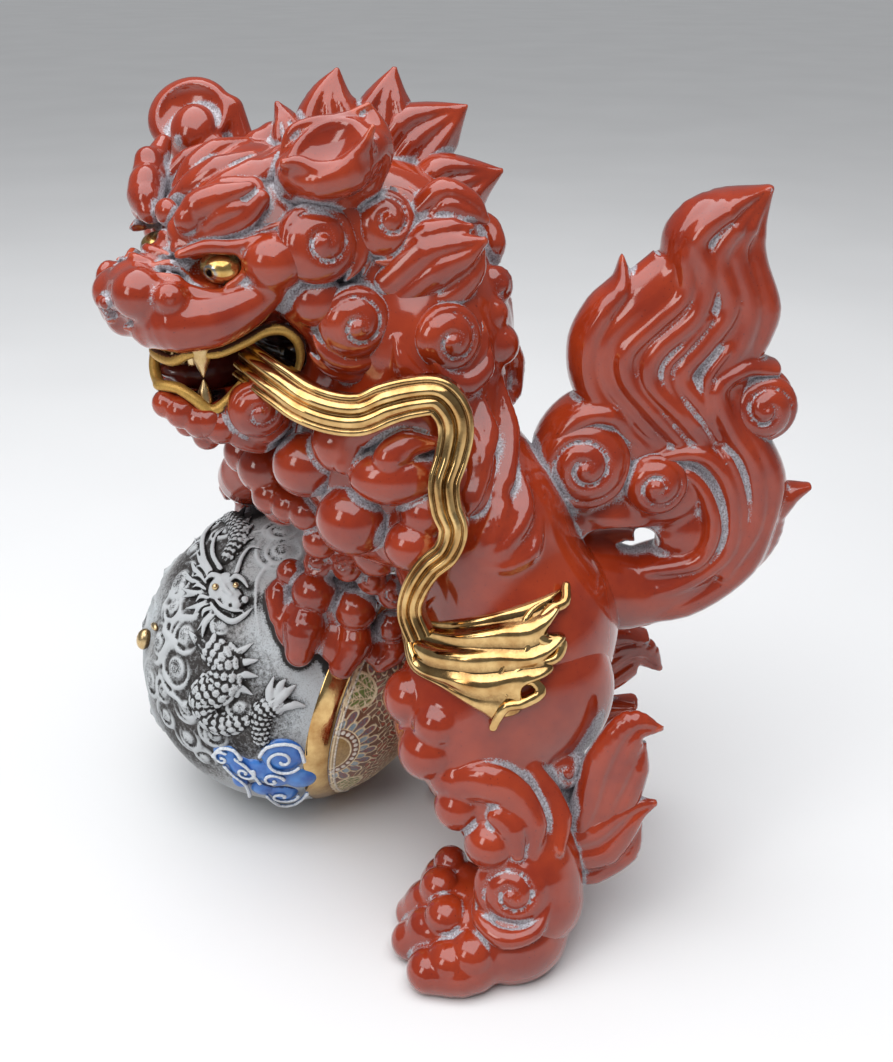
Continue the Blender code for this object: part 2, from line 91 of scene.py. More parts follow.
def half_height(node):
    low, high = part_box(node)
    return (high[2] - low[2]) / 2 / MM


def unit(vector):
    vector = np.asarray(vector, float)
    return vector / np.linalg.norm(vector)


def rows_for(normal, hint=(0.0, 0.0, 1.0)):
    """Three orthonormal rows: across, along the hint, and out along the normal."""
    out = unit(normal)
    along = np.asarray(hint, float) - out * np.dot(hint, out)
    if np.linalg.norm(along) < 0.1:
        along = np.array([0.0, 1.0, 0.0]) - out * out[1]
    along = unit(along)
    return np.array([np.cross(along, out), along, out])


# ------------------------------------------------------------------ strokes
# A stroke is (low corner, high corner, distance function, blend, carve).

def smooth_min(a, b, width):
    if width <= 0:
        return np.minimum(a, b)
    overlap = np.maximum(width - np.abs(a - b), 0) / width
    return np.minimum(a, b) - overlap * overlap * width * 0.25


def egg(centre, radii, rows=None, blend=2.0, carve=False):
    """An ellipsoid with its axes along the given rows."""
    centre = np.asarray(centre, float)
    radii = np.ones(3) * np.asarray(radii, float)
    rows = np.eye(3) if rows is None else rows
    reach = radii.max()

    def distance(p):
        q = (p - centre) @ rows.T
        near = np.linalg.norm(q / radii, axis=1)
        steep = np.linalg.norm(q / radii ** 2, axis=1)
        return near * (near - 1) / np.maximum(steep, 1e-6)

    return centre - reach, centre + reach, distance, blend, carve


def curve(points, steps=5):
    """Catmull-Rom path through the points."""
    points = [np.asarray(p, float) for p in points]
    ends = [2 * points[0] - points[1]] + points + [2 * points[-1] - points[-2]]
    path = []
    for before, start, stop, after in zip(ends, ends[1:], ends[2:], ends[3:]):
        for t in np.arange(steps) / steps:
            path.append(0.5 * (2 * start + (stop - before) * t
                               + (2 * before - 5 * start + 4 * stop - after) * t * t
                               + (3 * start - before - 3 * stop + after) * t ** 3))
    path.append(points[-1])
    return np.array(path)


def along(values, count):
    """Stated values spread evenly over a number of path points."""
    values = np.atleast_1d(np.asarray(values, float))
    return np.interp(np.linspace(0, 1, count), np.linspace(0, 1, len(values)), values)


def nearest(p, path):
    """For each point, where along the path it is nearest, and how far away."""
    best = np.full(len(p), 1e12)
    where = np.zeros(len(p))
    for index in range(len(path) - 1):
        span = path[index + 1] - path[index]
        offset = p - path[index]
        t = np.clip(offset @ span / max(span @ span, 1e-9), 0, 1)
        offset -= t[:, None] * span
        square = np.einsum("ij,ij->i", offset, offset)
        hit = square < best
        best[hit] = square[hit]
        where[hit] = index + t[hit]
    return where, np.sqrt(best)


def tube(points, radii, blend=2.0, carve=False, steps=4):
    """A round tapered limb along a smooth curve."""
    path = curve(points, steps)
    sizes = along(radii, len(path))
    low, high = path.min(0) - sizes.max(), path.max(0) + sizes.max()

    def distance(p):
        where, far = nearest(p, path)
        return far - np.interp(where, np.arange(len(sizes)), sizes)

    return low, high, distance, blend, carve


def lock(points, widths, thick, facing, grooves=2, depth=0.16, blend=1.0, steps=5, shift=0.0):
    """A flattened lock of hair with grooves that run along it to its tip."""
    path = curve(points, steps)
    count = len(path)
    wide = along(widths, count)
    high_side = along(thick, count)
    ahead = np.gradient(path, axis=0)
    ahead /= np.linalg.norm(ahead, axis=1)[:, None]
    face = np.asarray(facing, float) - ahead * (ahead @ np.asarray(facing, float))[:, None]
    face /= np.linalg.norm(face, axis=1)[:, None]
    across = np.cross(ahead, face)
    reach = max(wide.max(), high_side.max())
    stations = np.arange(count)

    def distance(p):
        where, _ = nearest(p, path)
        columns = [np.interp(where, stations, table[:, axis])
                   for table in (path, across, face) for axis in range(3)]
        spot, side, out = (np.stack(columns[start:start + 3], 1) for start in (0, 3, 6))
        w = np.interp(where, stations, wide)
        h = np.interp(where, stations, high_side)
        offset = p - spot
        v = np.einsum("ij,ij->i", offset, side) / w
        u = np.einsum("ij,ij->i", offset, out) / h
        rest = offset - side * (v * w)[:, None] - out * (u * h)[:, None]
        past = np.linalg.norm(rest, axis=1)
        small = np.minimum(w, h)
        round_off = np.sqrt(u * u + v * v + (past / small) ** 2)
        steep = np.sqrt((u / h) ** 2 + (v / w) ** 2 + (past / small ** 2) ** 2)
        groove = 0.0
        if grooves:
            groove = (0.5 + 0.5 * np.cos(math.pi * (grooves * (v + 1) + shift))) ** 3
            groove = groove * np.clip(1.25 - np.abs(v), 0, 1) * depth
        return np.minimum(round_off * (round_off - 1 + groove) / np.maximum(steep, 1e-6), FAR)

    return path.min(0) - reach, path.max(0) + reach, distance, blend, False


def curl(centre, normal, radius, height, turns=1.75, hand=1, spin=0.0, blend=1.2, hint=(0.0, 0.0, 1.0)):
    """A rolled curl: a dome whose ridge winds inwards and climbs to a round boss."""
    centre = np.asarray(centre, float)
    rows = rows_for(normal, hint)
    pitch = radius / (turns + 0.45)

    def distance(p):
        q = (p - centre) @ rows.T
        rho = np.hypot(q[:, 0], q[:, 1])
        theta = np.arctan2(q[:, 1], q[:, 0]) * hand + spin
        phase = rho / pitch - theta / (2 * math.pi)
        phase = phase - np.floor(phase)
        ridge = np.sqrt(np.maximum(0, 1 - np.abs(2 * phase - 1) ** 2.2))
        boss = np.clip(1 - rho / (0.62 * pitch), 0, 1)
        ridge = np.maximum(ridge, np.sqrt(boss))
        slope = 1 - rho / radius
        top = height * (0.42 + 0.58 * np.clip(slope, 0, 1)) * (0.62 + 0.38 * ridge)
        top = top * np.sqrt(np.clip(1 - (rho / radius) ** 6, 0, 1)) - 0.15 * height
        above = (q[:, 2] - top) * 0.72
        side = rho - radius
        below = -q[:, 2] - height
        return np.maximum(np.maximum(above, side), below)

    reach = max(radius, height) * 1.15
    return centre - reach, centre + reach, distance, blend, False


# ------------------------------------------------------------------ clay

class Clay:
    """A block of clay: a distance field on its own grid."""

    def __init__(self, name, strokes, step, floor=None):
        self.name = name
        self.step = step
        solid = [stroke for stroke in strokes if not stroke[4]]
        pad = 3 * step + 3
        self.low = np.min([stroke[0] for stroke in solid], axis=0) - pad
        high = np.max([stroke[1] for stroke in solid], axis=0) + pad
        if floor is not None:
            self.low[2] = max(self.low[2], floor - 3 * step)
        shape = np.ceil((high - self.low) / step).astype(int) + 1
        self.field = np.full(shape, FAR, np.float32)
        for stroke in strokes:
            self.press(*stroke)
        if floor is not None:
            heights = self.low[2] + step * np.arange(shape[2])
            self.field = np.maximum(self.field, (floor - heights)[None, None, :].astype(np.float32))
        self.field[[0, -1]] = FAR
        self.field[:, [0, -1]] = FAR
        self.field[:, :, [0, -1]] = FAR

    def press(self, low, high, distance, blend, carve):
        margin = blend + 2.5 * self.step
        start = np.maximum(np.floor((low - margin - self.low) / self.step).astype(int), 0)
        stop = np.minimum(np.ceil((high + margin - self.low) / self.step).astype(int) + 1, self.field.shape)
        if np.any(stop <= start):
            return
        ticks = [self.low[axis] + self.step * np.arange(start[axis], stop[axis]) for axis in range(3)]
        cells = np.stack(np.meshgrid(*ticks, indexing="ij"), -1).reshape(-1, 3)
        window = tuple(slice(a, b) for a, b in zip(start, stop))
        old = self.field[window]
        new = distance(cells).reshape(old.shape)
        if carve:
            self.field[window] = -smooth_min(-old, new, blend)
        else:
            self.field[window] = smooth_min(old, new, blend)


def sample(field, low, step, points):
    """Trilinear values of a grid field at some points; FAR outside it."""
    spots = (points - low) / step
    top = np.array(field.shape) - 1.001
    inside = np.all((spots >= 0) & (spots <= top), axis=1)
    spots = np.clip(spots, 0, top)
    base = np.floor(spots).astype(np.int64)
    part = spots - base
    value = np.zeros(len(points))
    for corner in range(8):
        bits = np.array([corner >> 2 & 1, corner >> 1 & 1, corner & 1])
        weight = np.prod(np.where(bits, part, 1 - part), axis=1)
        cell = base + bits
        value += weight * field[cell[:, 0], cell[:, 1], cell[:, 2]]
    return np.where(inside, value, FAR)


def surface_nets(field):
    """Vertices, in grid units, and quads of the field's zero surface."""
    inside = field < 0
    count = np.zeros(np.array(field.shape) - 1, np.int8)
    corners = [(a, b, c) for a in (0, 1) for b in (0, 1) for c in (0, 1)]
    for a, b, c in corners:
        count += inside[a:count.shape[0] + a, b:count.shape[1] + b, c:count.shape[2] + c]
    mixed = (count > 0) & (count < 8)
    cells = np.argwhere(mixed)
    number = np.full(mixed.shape, -1, np.int64)
    number[mixed] = np.arange(len(cells))
    values = [field[cells[:, 0] + a, cells[:, 1] + b, cells[:, 2] + c] for a, b, c in corners]
    total = np.zeros((len(cells), 3))
    hits = np.zeros(len(cells))
    for first, one in enumerate(corners):
        for second in range(first + 1, 8):
            other = corners[second]
            if sum(abs(m - n) for m, n in zip(one, other)) != 1:
                continue
            va, vb = values[first], values[second]
            cross = (va < 0) != (vb < 0)
            t = np.where(cross, va / np.where(cross, va - vb, 1), 0)
            spot = np.array(one) + t[:, None] * (np.array(other) - np.array(one))
            total += spot * cross[:, None]
            hits += cross
    vertices = cells + total / hits[:, None]
    quads = []
    for axis in range(3):
        b, c = (axis + 1) % 3, (axis + 2) % 3
        low = np.take(inside, range(inside.shape[axis] - 1), axis)
        high = np.take(inside, range(1, inside.shape[axis]), axis)
        edges = np.argwhere(low != high)
        edges = edges[(edges[:, b] > 0) & (edges[:, c] > 0)
                      & (edges[:, b] < field.shape[b] - 1) & (edges[:, c] < field.shape[c] - 1)]
        ring = []
        for db, dc in ((1, 1), (0, 1), (0, 0), (1, 0)):
            cell = edges.copy()
            cell[:, b] -= db
            cell[:, c] -= dc
            ring.append(number[cell[:, 0], cell[:, 1], cell[:, 2]])
        quad = np.stack(ring, 1)
        flip = ~low[edges[:, 0], edges[:, 1], edges[:, 2]]
        quad[flip] = quad[flip][:, ::-1]
        quads.append(quad)
    return vertices, np.concatenate(quads)


def relax(vertices, quads, rounds, weight):
    """Even out the vertices a little, without shrinking the form."""
    pairs = np.concatenate([quads[:, [k, (k + 1) % 4]] for k in range(4)])
    count = np.bincount(pairs.ravel(), minlength=len(vertices))[:, None]
    for _ in range(rounds):
        for factor in (weight, -weight * 1.03):
            total = np.zeros_like(vertices)
            for axis in range(3):
                total[:, axis] = (np.bincount(pairs[:, 0], vertices[pairs[:, 1], axis], len(vertices))
                                  + np.bincount(pairs[:, 1], vertices[pairs[:, 0], axis], len(vertices)))
            vertices = vertices + factor * (total / count - vertices)
    return vertices


def vertex_normals(vertices, quads):
    a, b, c, d = (vertices[quads[:, k]] for k in range(4))
    face = np.cross(c - a, d - b)
    normals = np.zeros_like(vertices)
    for k in range(4):
        for axis in range(3):
            normals[:, axis] += np.bincount(quads[:, k], face[:, axis], len(vertices))
    return normals / np.maximum(np.linalg.norm(normals, axis=1), 1e-9)[:, None]


AIR_STEP = 2.0
AIR_LOW = np.array([-160.0, -185.0, -10.0])
AIR = np.full((152, 188, 212), FAR, np.float32)


def fill_air(clay):
    """Write the clay into the coarse field that all pieces share."""
    high = clay.low + clay.step * (np.array(clay.field.shape) - 1)
    start = np.maximum(np.ceil((clay.low - AIR_LOW) / AIR_STEP).astype(int), 0)
    stop = np.minimum(np.floor((high - AIR_LOW) / AIR_STEP).astype(int), AIR.shape)
    ticks = [AIR_LOW[axis] + AIR_STEP * np.arange(start[axis], stop[axis]) for axis in range(3)]
    points = np.stack(np.meshgrid(*ticks, indexing="ij"), -1).reshape(-1, 3)
    window = tuple(slice(a, b) for a, b in zip(start, stop))
    values = sample(clay.field, clay.low, clay.step, points).reshape(AIR[window].shape)
    AIR[window] = np.minimum(AIR[window], values)


def crevice(clay, vertices, normals):
    """How enclosed each vertex is, 0 to about 1: in its own grooves and by neighbours."""
    closed = np.zeros(len(vertices))
    for reach, share in ((1.6, 0.9), (3.2, 0.8)):
        ahead = sample(clay.field, clay.low, clay.step, vertices + normals * reach)
        closed += share * np.clip(1 - ahead / reach - 0.06, 0, 1)
    ahead = sample(AIR, AIR_LOW, AIR_STEP, vertices + normals * 4.0)
    closed += 1.1 * np.clip(1 - ahead / 4.0 - 0.15, 0, 1)
    ahead = sample(AIR, AIR_LOW, AIR_STEP, vertices + normals * 8.0)
    closed += 0.8 * np.clip(1 - ahead / 8.0 - 0.3, 0, 1)
    return closed


def make_mesh(name, vertices, faces, attributes=None):
    """A mesh object from millimetre vertices and faces of one size."""
    mesh = bpy.data.meshes.new(name)
    points = (vertices + SHIFT) * MM
    size = faces.shape[1]
    mesh.vertices.add(len(points))
    mesh.vertices.foreach_set("co", points.astype(np.float32).ravel())
    mesh.loops.add(faces.size)
    mesh.loops.foreach_set("vertex_index", faces.astype(np.int32).ravel())
    mesh.polygons.add(len(faces))
    mesh.polygons.foreach_set("loop_start", np.arange(0, faces.size, size, dtype=np.int32))
    mesh.update(calc_edges=True)
    mesh.validate()
    mesh.shade_smooth()
    for key, values in (attributes or {}).items():
        layer = mesh.attributes.new(key, "FLOAT", "POINT")
        layer.data.foreach_set("value", np.asarray(values, np.float32))
    piece = bpy.data.objects.new(name, mesh)
    bpy.context.scene.collection.objects.link(piece)
    return piece


# ------------------------------------------------------------------ forms

def trunk():
    strokes = [
        egg((22, 34, 146), (56, 50, 52), blend=8),
        egg((16, 16, 192), (50, 44, 50), blend=14),
        egg((6, -20, 232), (50, 52, 50), blend=14),
        egg((-4, -16, 282), (48, 47, 52), blend=14),
        egg((-8, -30, 318), (38, 46, 44), blend=10),
    ]
    fur = [
        ([(30, 13, 267), (39, 16, 252), (50, 13, 241), (57, 10, 231)], [3, 8, 7, 1]),
        ([(17, 23, 269), (27, 26, 248), (48, 23, 232), (58, 17, 217)], [3, 8, 8, 1]),
        ([(43, 10, 254), (49, 14, 241), (58, 10, 227), (59, 8, 218)], [2, 7, 6, 1]),
        ([(37, 33, 232), (52, 33, 219), (62, 23, 207), (64, 12, 200)], [2, 7, 7, 1]),
        ([(45, 23, 236), (55, 23, 221), (62, 17, 209), (63, 10, 202)], [2, 6, 6, 1]),
        ([(49, 41, 213), (57, 37, 203), (63, 26, 199), (65, 15, 198)], [2, 6, 6, 1]),
        ([(12, 27, 290), (1, 29, 273), (-1, 28, 257), (29, 22, 253)], [3, 8, 8, 1]),
    ]
    for points, widths in fur:
        strokes.append(lock(points, widths, [2, 4.5, 4, 1], (1, -0.1, 0.25), grooves=2, depth=0.2, blend=1.5))
    strokes += [
        egg((14, 23, 284), 10, blend=1.5), egg((14, 20, 298), 8, blend=1.5),
        curl((6, 23, 309), (0.8, 0.6, 0.2), 9, 7, 1.3, 1, 0.5, 1.0),
        lock([(-8, 11, 339), (-10, 19, 332), (-6, 22, 324), (-9, 23, 314)], [3, 6, 6, 1], [3, 5, 5, 1],
             (0.8, 0.6, 0.2), 1, 0.2, 1),
        lock([(43, -5, 285), (41, 0, 276), (36, 9, 273), (31, 17, 279), (28, 18, 290)], [2, 5, 6, 5, 1],
             [2, 4, 5, 4, 1],
             (1, 0, 0.1), 1, 0.2, 1),
        lock([(42, -21, 295), (44, -18, 284), (43, -10, 275), (40, 1, 270)], [2, 5, 6, 1], [2, 4, 4.5, 1],
             (1, 0, 0.1), 1, 0.2, 1),
    ]
    back = [
        ([(-14, 14, 326), (-14, 25, 296), (-10, 27, 268), (-4, 30, 240)], [5, 9, 9, 1]),
        ([(-32, 6, 322), (-38, 14, 292), (-34, 18, 264), (-26, 26, 238)], [5, 9, 9, 1]),
        ([(8, 10, 318), (14, 18, 290), (17, 18, 264), (17, 25, 240)], [5, 9, 9, 1]),
    ]
    for points, widths in back:
        strokes.append(lock(points, widths, [3, 6, 5, 1], (0, 1, 0.1), grooves=2, depth=0.2, blend=1.5))
    return Clay("trunk_form", strokes, 1.5)


def pair(side, point):
    """A head-frame point on the stated side."""
    return hd(side * point[0], point[1], point[2])


def head():
    strokes = [
        egg(hd(0, -6, 5), (48, 42, 41), HEAD_ROWS, 4),
        egg(hd(0, 30, -10), (30, 22, 18), HEAD_ROWS, 6),
        tube([hd(2, 34, 6), hd(2, 46, -3), hd(1, 58, -7)], [10, 11, 11], 5),
        egg(hd(0, 58, -10), (14, 10, 10), HEAD_ROWS, 4),
        egg(hd(12, 61, -8), (12, 12, 11.5), HEAD_ROWS, 4.5),
        egg(hd(-11, 59, -12), (11, 12, 11), HEAD_ROWS, 5),
        egg(hd(0, 50, -22), (18, 12, 12), HEAD_ROWS, 4),
    ]
    for side in (1, -1):
        strokes += [
            egg(pair(side, (24, 53, -9)), (8, 8, 7), HEAD_ROWS, 4.0),
            tube([pair(side, spot) for spot in [(12, 57, -23), (23, 51, -20), (30, 38, -19),
                                                (36, 25, -14), (41, 16, -8)]],
                 [9, 12.5, 12, 10, 7], 3.5),
            tube([pair(side, spot) for spot in [(41, -1, -17), (41, -12, -28), (39, -17, -41),
                                                (34, -15, -58)]],
                 [11, 13, 14, 14], 4),
            egg(pair(side, (43, 14, 4)), (13, 14, 12.5), HEAD_ROWS, 3.5),
            egg(pair(side, (48, -2, -14)), (12, 12, 12), HEAD_ROWS, 2.0),
            tube([pair(side, spot) for spot in [(17, 50, -1), (26, 46, -6), (32, 37, -9), (37, 27, -6)]],
                 [1.6, 2.6, 3.0, 1.6], 1.5),
            tube([pair(side, spot) for spot in [(22, 47, 8), (29, 38, 11), (36, 28, 11), (42, 19, 15)]],
                 [2, 3.2, 3.2, 1.6], 1.2),
            tube([pair(side, spot) for spot in [(37, 29, 10), (38, 25, 5), (37, 26, -1), (35, 33, -5)]],
                 [1.5, 2.2, 2.2, 1.4], 1.0),
            tube([pair(side, spot) for spot in [(10, 55, 2), (16, 48, 3), (20, 43, -1)]], [1.2, 2.4, 1.2],
                 1.5),
            tube([pair(side, spot) for spot in [(18, 55, 0), (22, 49, -2), (25, 45, -8)]],
                 [1.2, 2.2, 1.0], 1.5),
            curl(pair(side, (29, 57, -7)), hd_way(side * 0.8, 0.5, 0.35), 6, 4, 1.3, side, blend=1.2),
        ]
        for spot in [(6, 69, -17), (8, 66, -21), (10, 63, -25), (14, 59, -20), (14, 58, -26),
                     (19, 56, -22), (2, 72, -12), (9, 66, -15)]:
            strokes.append(egg(pair(side, spot), 2.8, blend=0.8))
    strokes += [
        egg(hd(0, 39, 21), (6, 5, 6), HEAD_ROWS, 1.0),
        tube([hd(-9, 45, 6), hd(1, 50, 7), hd(12, 46, 6)], [1.5, 2.5, 1.5], 1.2),
        tube([hd(-8, 53, 3), hd(1, 57, 5), hd(9, 53, 3)], [1.5, 2.0, 1.5], 1.2),
        tube([hd(-6, 39, 10), hd(2, 42, 12), hd(10, 38, 12)], [1.5, 3.0, 1.5], 1.2),
    ]
    for side in (1, -1):
        strokes += [
            egg(hd(side * 27, 37, 2), (10, 8, 6.5), HEAD_ROWS, 1.0, carve=True),
            egg(hd(-19, 42, 8), (9, 8, 5), HEAD_ROWS, 1.5, carve=True),
            egg(hd(side * 8, 69, -18), (5, 6, 3.2), HEAD_ROWS, 1.5, carve=True),
        ]
    crown_way = hd_way(0.3, 0.5, 0.8)
    for points, widths in (
        ([(13, -119, 346), (18, -108, 355), (19, -96, 362), (14, -82, 367)], [4, 7, 7, 2]),
        ([(26, -104, 351), (27, -92, 357), (23, -80, 362), (2, -71, 368)], [4, 6, 7, 2]),
        ([(9, -116, 352), (8, -108, 361), (3, -99, 367), (-5, -87, 370)], [4, 7, 6, 2]),
        ([(30, -83, 357), (24, -75, 362), (12, -68, 366)], [4, 6, 2]),
        ([(-3, -127, 347), (-6, -121, 355), (-7, -113, 362), (-9, -103, 368)], [3, 6, 5, 2]),
    ):
        strokes.append(lock(points, widths, [3, 5, 5, 2][:len(points)], crown_way, 1, 0.2, 1.2))
    for spot, size in (((-14, -82, 365), 9), ((-12, -88, 362), 8), ((-16, -76, 368), 9), ((-8, -92, 356), 8)):
        strokes.append(egg(spot, size, blend=1.5))
    return Clay("head_form", strokes, 1.0)


def lower_jaw():
    strokes = [
        egg(hd(2, 26, -62), (26, 23, 11), HEAD_ROWS, 4),
        egg(hd(0, 6, -58), (30, 24, 13), HEAD_ROWS, 4),
        egg(hd(0, 26, -50), (20, 18, 9), HEAD_ROWS, 2, carve=True),
        egg(hd(10, 46, -62), (9, 6, 8), HEAD_ROWS, 1.0),
        egg(hd(20, 40, -66), (9, 8, 8), HEAD_ROWS, 1.0),
        egg(hd(-12, 36, -62), (9, 8, 8), HEAD_ROWS, 1.0),
    ]
    return Clay("lower_jaw_form", strokes, 1.0)


def brow(side, name):
    if side < 0:
        strokes = [
            lock([hd(-13, 40, 20), hd(-20, 38, 25), hd(-30, 30, 31), hd(-38, 18, 43)],
                 [6, 10, 11, 5], [6, 8, 8, 4], hd_way(-0.4, 0.8, 0.25), 1, 0.2, 1.5),
        ]
        for spot, size in (((-15, 40, 25), 5.5), ((-22, 36, 31), 6.5), ((-30, 30, 38), 6),
                           ((-24, 37, 19), 6)):
            strokes.append(egg(hd(*spot), size, blend=2.5))
        return Clay(name, strokes, 0.9)
    face = hd_way(0.5, 0.75, 0.2)
    strokes = [
        lock([(36, -109, 336), (36, -100, 343), (36, -88, 350), (36, -78, 354)], [10, 13, 12.5, 8],
             [6, 8, 7.5, 5], face, 0, 0, 1.5),
        lock([(39, -111, 333), (39, -99, 334), (39, -84, 337), (39, -67, 343)], [4, 5.5, 5, 1.5],
             [4, 5.5, 4.5, 1.5], face, 1, 0.15, 0.8),
        lock([(41, -107, 343), (41, -102, 350), (41, -92, 354), (41, -80, 358)], [4.5, 6.5, 6, 2.5],
             [4, 5.5, 5, 2.5], face, 0, 0, 0.8),
        lock([(41, -104, 337), (41, -93, 341), (41, -83, 346), (41, -75, 354)], [3, 5, 5.5, 3.5],
             [3, 5, 5, 3], face, 0, 0, 0.8),
        lock([(43, -98, 343), (43, -92, 348), (43, -85, 350), (43, -80, 351)], [2.5, 4, 3.5, 1.5],
             [2.5, 3.5, 3, 1.5], face, 0, 0, 0.6),
        egg((41, -106, 345), 6, blend=1.0),
    ]
    return Clay(name, strokes, 0.8)


def near_ear():
    """The left ear: a cupped leaf that opens forwards and up, with a curled tip behind."""
    out = unit((0.50, -0.42, 0.76))
    rows = rows_for(out, (0, 0.75, 0.6))
    strokes = [
        tube([(12, -47, 341), (20, -47, 357)], [16, 17], 4),
        egg((26, -48, 366), (19, 24, 15), rows, 4),
        tube([(26, -35, 359), (26, -29, 370), (24, -29, 379), (22, -32, 388)], [9, 7.5, 5, 1.2], 4),
        tube([(26, -65, 356), (28, -67, 364)], [8, 4], 3),
        tube([(36, -62, 362), (41, -51, 361), (40, -39, 365), (32, -30, 373)], [7, 8.5, 9, 6], 3.5),
        egg((42, -50, 377), (14, 20, 12), rows, 2.0, carve=True),
        tube([(44, -65, 368), (44, -59, 368), (44, -52, 365), (44, -43, 366), (44, -34, 373),
              (44, -29, 382)], [2, 3.2, 4, 4, 3.2, 1.2], 2.5),
        tube([(41, -64, 366), (41, -57, 364), (41, -47, 362), (41, -38, 366), (41, -31, 374)],
             [3, 5, 6, 5, 3], 2.5),
        tube([(24, -68, 366), (24, -64, 377), (24, -55, 381), (24, -42, 383), (24, -32, 388)],
             [2, 2.6, 2.6, 2.4, 1.2], 1.6),
    ]
    return Clay("ear_left_form", strokes, 0.9)


def far_ear():
    """The right ear: a round dish with a ball in it."""
    out = unit((0.78, -0.25, 0.57))
    rows = rows_for(out)
    strokes = [
        tube([(-30, -111, 342), (-36, -113, 356)], [17, 13], 4),
        egg((-42, -118, 376), (21, 19, 9), rows, 4),
        tube([(-42, -99, 379), (-40, -96, 366), (-36, -93, 355)], [6, 7, 5], 3),
        egg((-33, -116, 379), (17.5, 15.5, 8), rows, 1.5, carve=True),
        egg((-33, -115, 371), (11, 12, 9), rows, 1.2),
        egg((-30, -110, 363), (12, 8, 7), rows, 1.5),
    ]
    return Clay("ear_right_form", strokes, 0.9)


CREST = {
    1: ([(-12, -67, 365), (-12, -69, 373), (-12, -71, 379), (-12, -74, 385)], [9, 8, 5, 1]),
    2: ([(-24, -48, 357), (-24, -50, 374), (-24, -51, 386), (-24, -48, 398)], [17, 17, 11, 1]),
    3: ([(-30, -26, 358), (-30, -27, 375), (-30, -26, 386), (-30, -23, 398)], [17, 15, 10, 1]),
    4: ([(-28, -24, 350), (-28, -13, 365), (-28, -2, 374), (-28, 9, 382)], [19, 18, 12, 1]),
    5: ([(-14, -10, 332), (-14, 1, 345), (-14, 12, 351), (-14, 25, 356)], [20, 18, 12, 1]),
}


def crest(number):
    points, widths = CREST[number]
    base, low, high, tip = (np.array(point, float) for point in points)
    facing = (0.95, 0.1, 0.2)
    across = unit(np.cross(tip - low, facing))
    strokes = [lock(points, widths, [13, 12, 8, 1.2], facing, 0, 0, 1.0)]
    for place in (-0.62, -0.1, 0.42):
        offset = across * place
        strokes.append(lock([base + offset * widths[0], low + offset * widths[1],
                             high + offset * widths[2] * 0.8,
                             tip * 0.9 + high * 0.1],
                            [widths[0] * 0.5, widths[1] * 0.48, widths[2] * 0.42, 0.8],
                            [14.5, 14, 9.5, 1.2], facing, 1, 0.05, 1.2))
    return Clay("crest_%d_form" % number, strokes, 1.0)


def mane_lock(side, name):
    if side > 0:
        flows = [
            ([(30, -23, 312), (30, -7, 325), (30, 7, 330), (30, 16, 334)], [12, 14, 9, 2]),
            ([(27, -24, 308), (27, -3, 312), (27, 10, 321), (27, 15, 329)], [9, 12, 8, 2]),
            ([(26, -20, 329), (26, -7, 334), (26, 4, 337), (26, 10, 339)], [7, 9, 7, 2]),
            ([(18, -11, 342), (18, -1, 349), (18, 10, 345), (18, 17, 340)], [8, 10, 8, 2]),
        ]
        facing = (0.9, 0.3, 0.3)
    else:
        flows = [
            ([(-46, -66, 316), (-50, -46, 322), (-50, -26, 330), (-46, -10, 338)], [11, 13, 9, 2]),
            ([(-48, -62, 306), (-53, -42, 308), (-52, -20, 316), (-48, -4, 322)], [9, 12, 8, 2]),
            ([(-40, -56, 338), (-44, -38, 346), (-42, -22, 350)], [8, 10, 2]),
        ]
        facing = (-0.9, 0.3, 0.3)
    strokes = [lock(points, widths, [6, 8, 6, 2][:len(points)], facing, 2, 0.2, 1.0)
               for points, widths in flows]
    return Clay(name, strokes, 1.1)


# Each curl sits on its CAD part: the way it faces, how far its centre lies beyond the middle
# of the part, its radius and height, its hand and spin, and the arc that its wraps cover.
CURLS = {
    "mane_curl_cheek_left": ((0.82, 0.42, 0.25), 10, 17, 11, 1, 0.6, (1.7, -1.0)),
    "mane_curl_upper_left": ((0.85, 0.30, 0.42), 3, 14.5, 11, 1, 0.0, (1.2, -1.9)),
    "mane_curl_jaw_left": ((0.92, 0.30, 0.05), 5, 16, 11, 1, 0.4, (-2.9, -0.2)),
    "mane_curl_neck_left": ((0.90, 0.42, 0.05), 5, 15.5, 10, 1, 0.9, (-2.6, 0.3)),
    "mane_curl_cheek_right": ((-0.80, -0.50, 0.25), 0, 21, 13, -1, 0.6, (1.7, -1.0)),
    "mane_curl_upper_right": ((-0.95, -0.10, 0.35), 2, 17, 13, -1, 0.0, (1.2, -1.9)),
    "mane_curl_jaw_right": ((-0.95, -0.25, 0.05), 4, 20, 14, -1, 0.4, (-2.9, -0.2)),
    "mane_curl_neck_right": ((-0.95, 0.20, 0.00), 3, 19, 13, -1, 0.9, (-2.6, 0.3)),
}


def mane_curl(name):
    facing, beyond, radius, height, hand, spin, wraps = CURLS[name]
    normal = unit(facing)
    centre = middle(name) + normal * beyond
    inner = centre - normal * 3
    strokes = [curl(inner, normal, radius, height, 1.35, hand, spin, 1.0)]
    rows = rows_for(normal)
    for ring, trim in ((1.14, 0.0), (1.44, 0.35)):
        path = []
        for angle in np.linspace(wraps[0] - trim * np.sign(wraps[0] - wraps[1]),
                                 wraps[1] + trim * np.sign(wraps[0] - wraps[1]), 8):
            way = rows[0] * math.cos(angle) * hand + rows[1] * math.sin(angle)
            path.append(inner + way * radius * ring - normal * (2 + 9 * (ring - 1)))
        strokes.append(tube(path, [1, 4, 5, 4.5, 1], 0.7, steps=2))
    return Clay(name + "_form", strokes, 0.9)


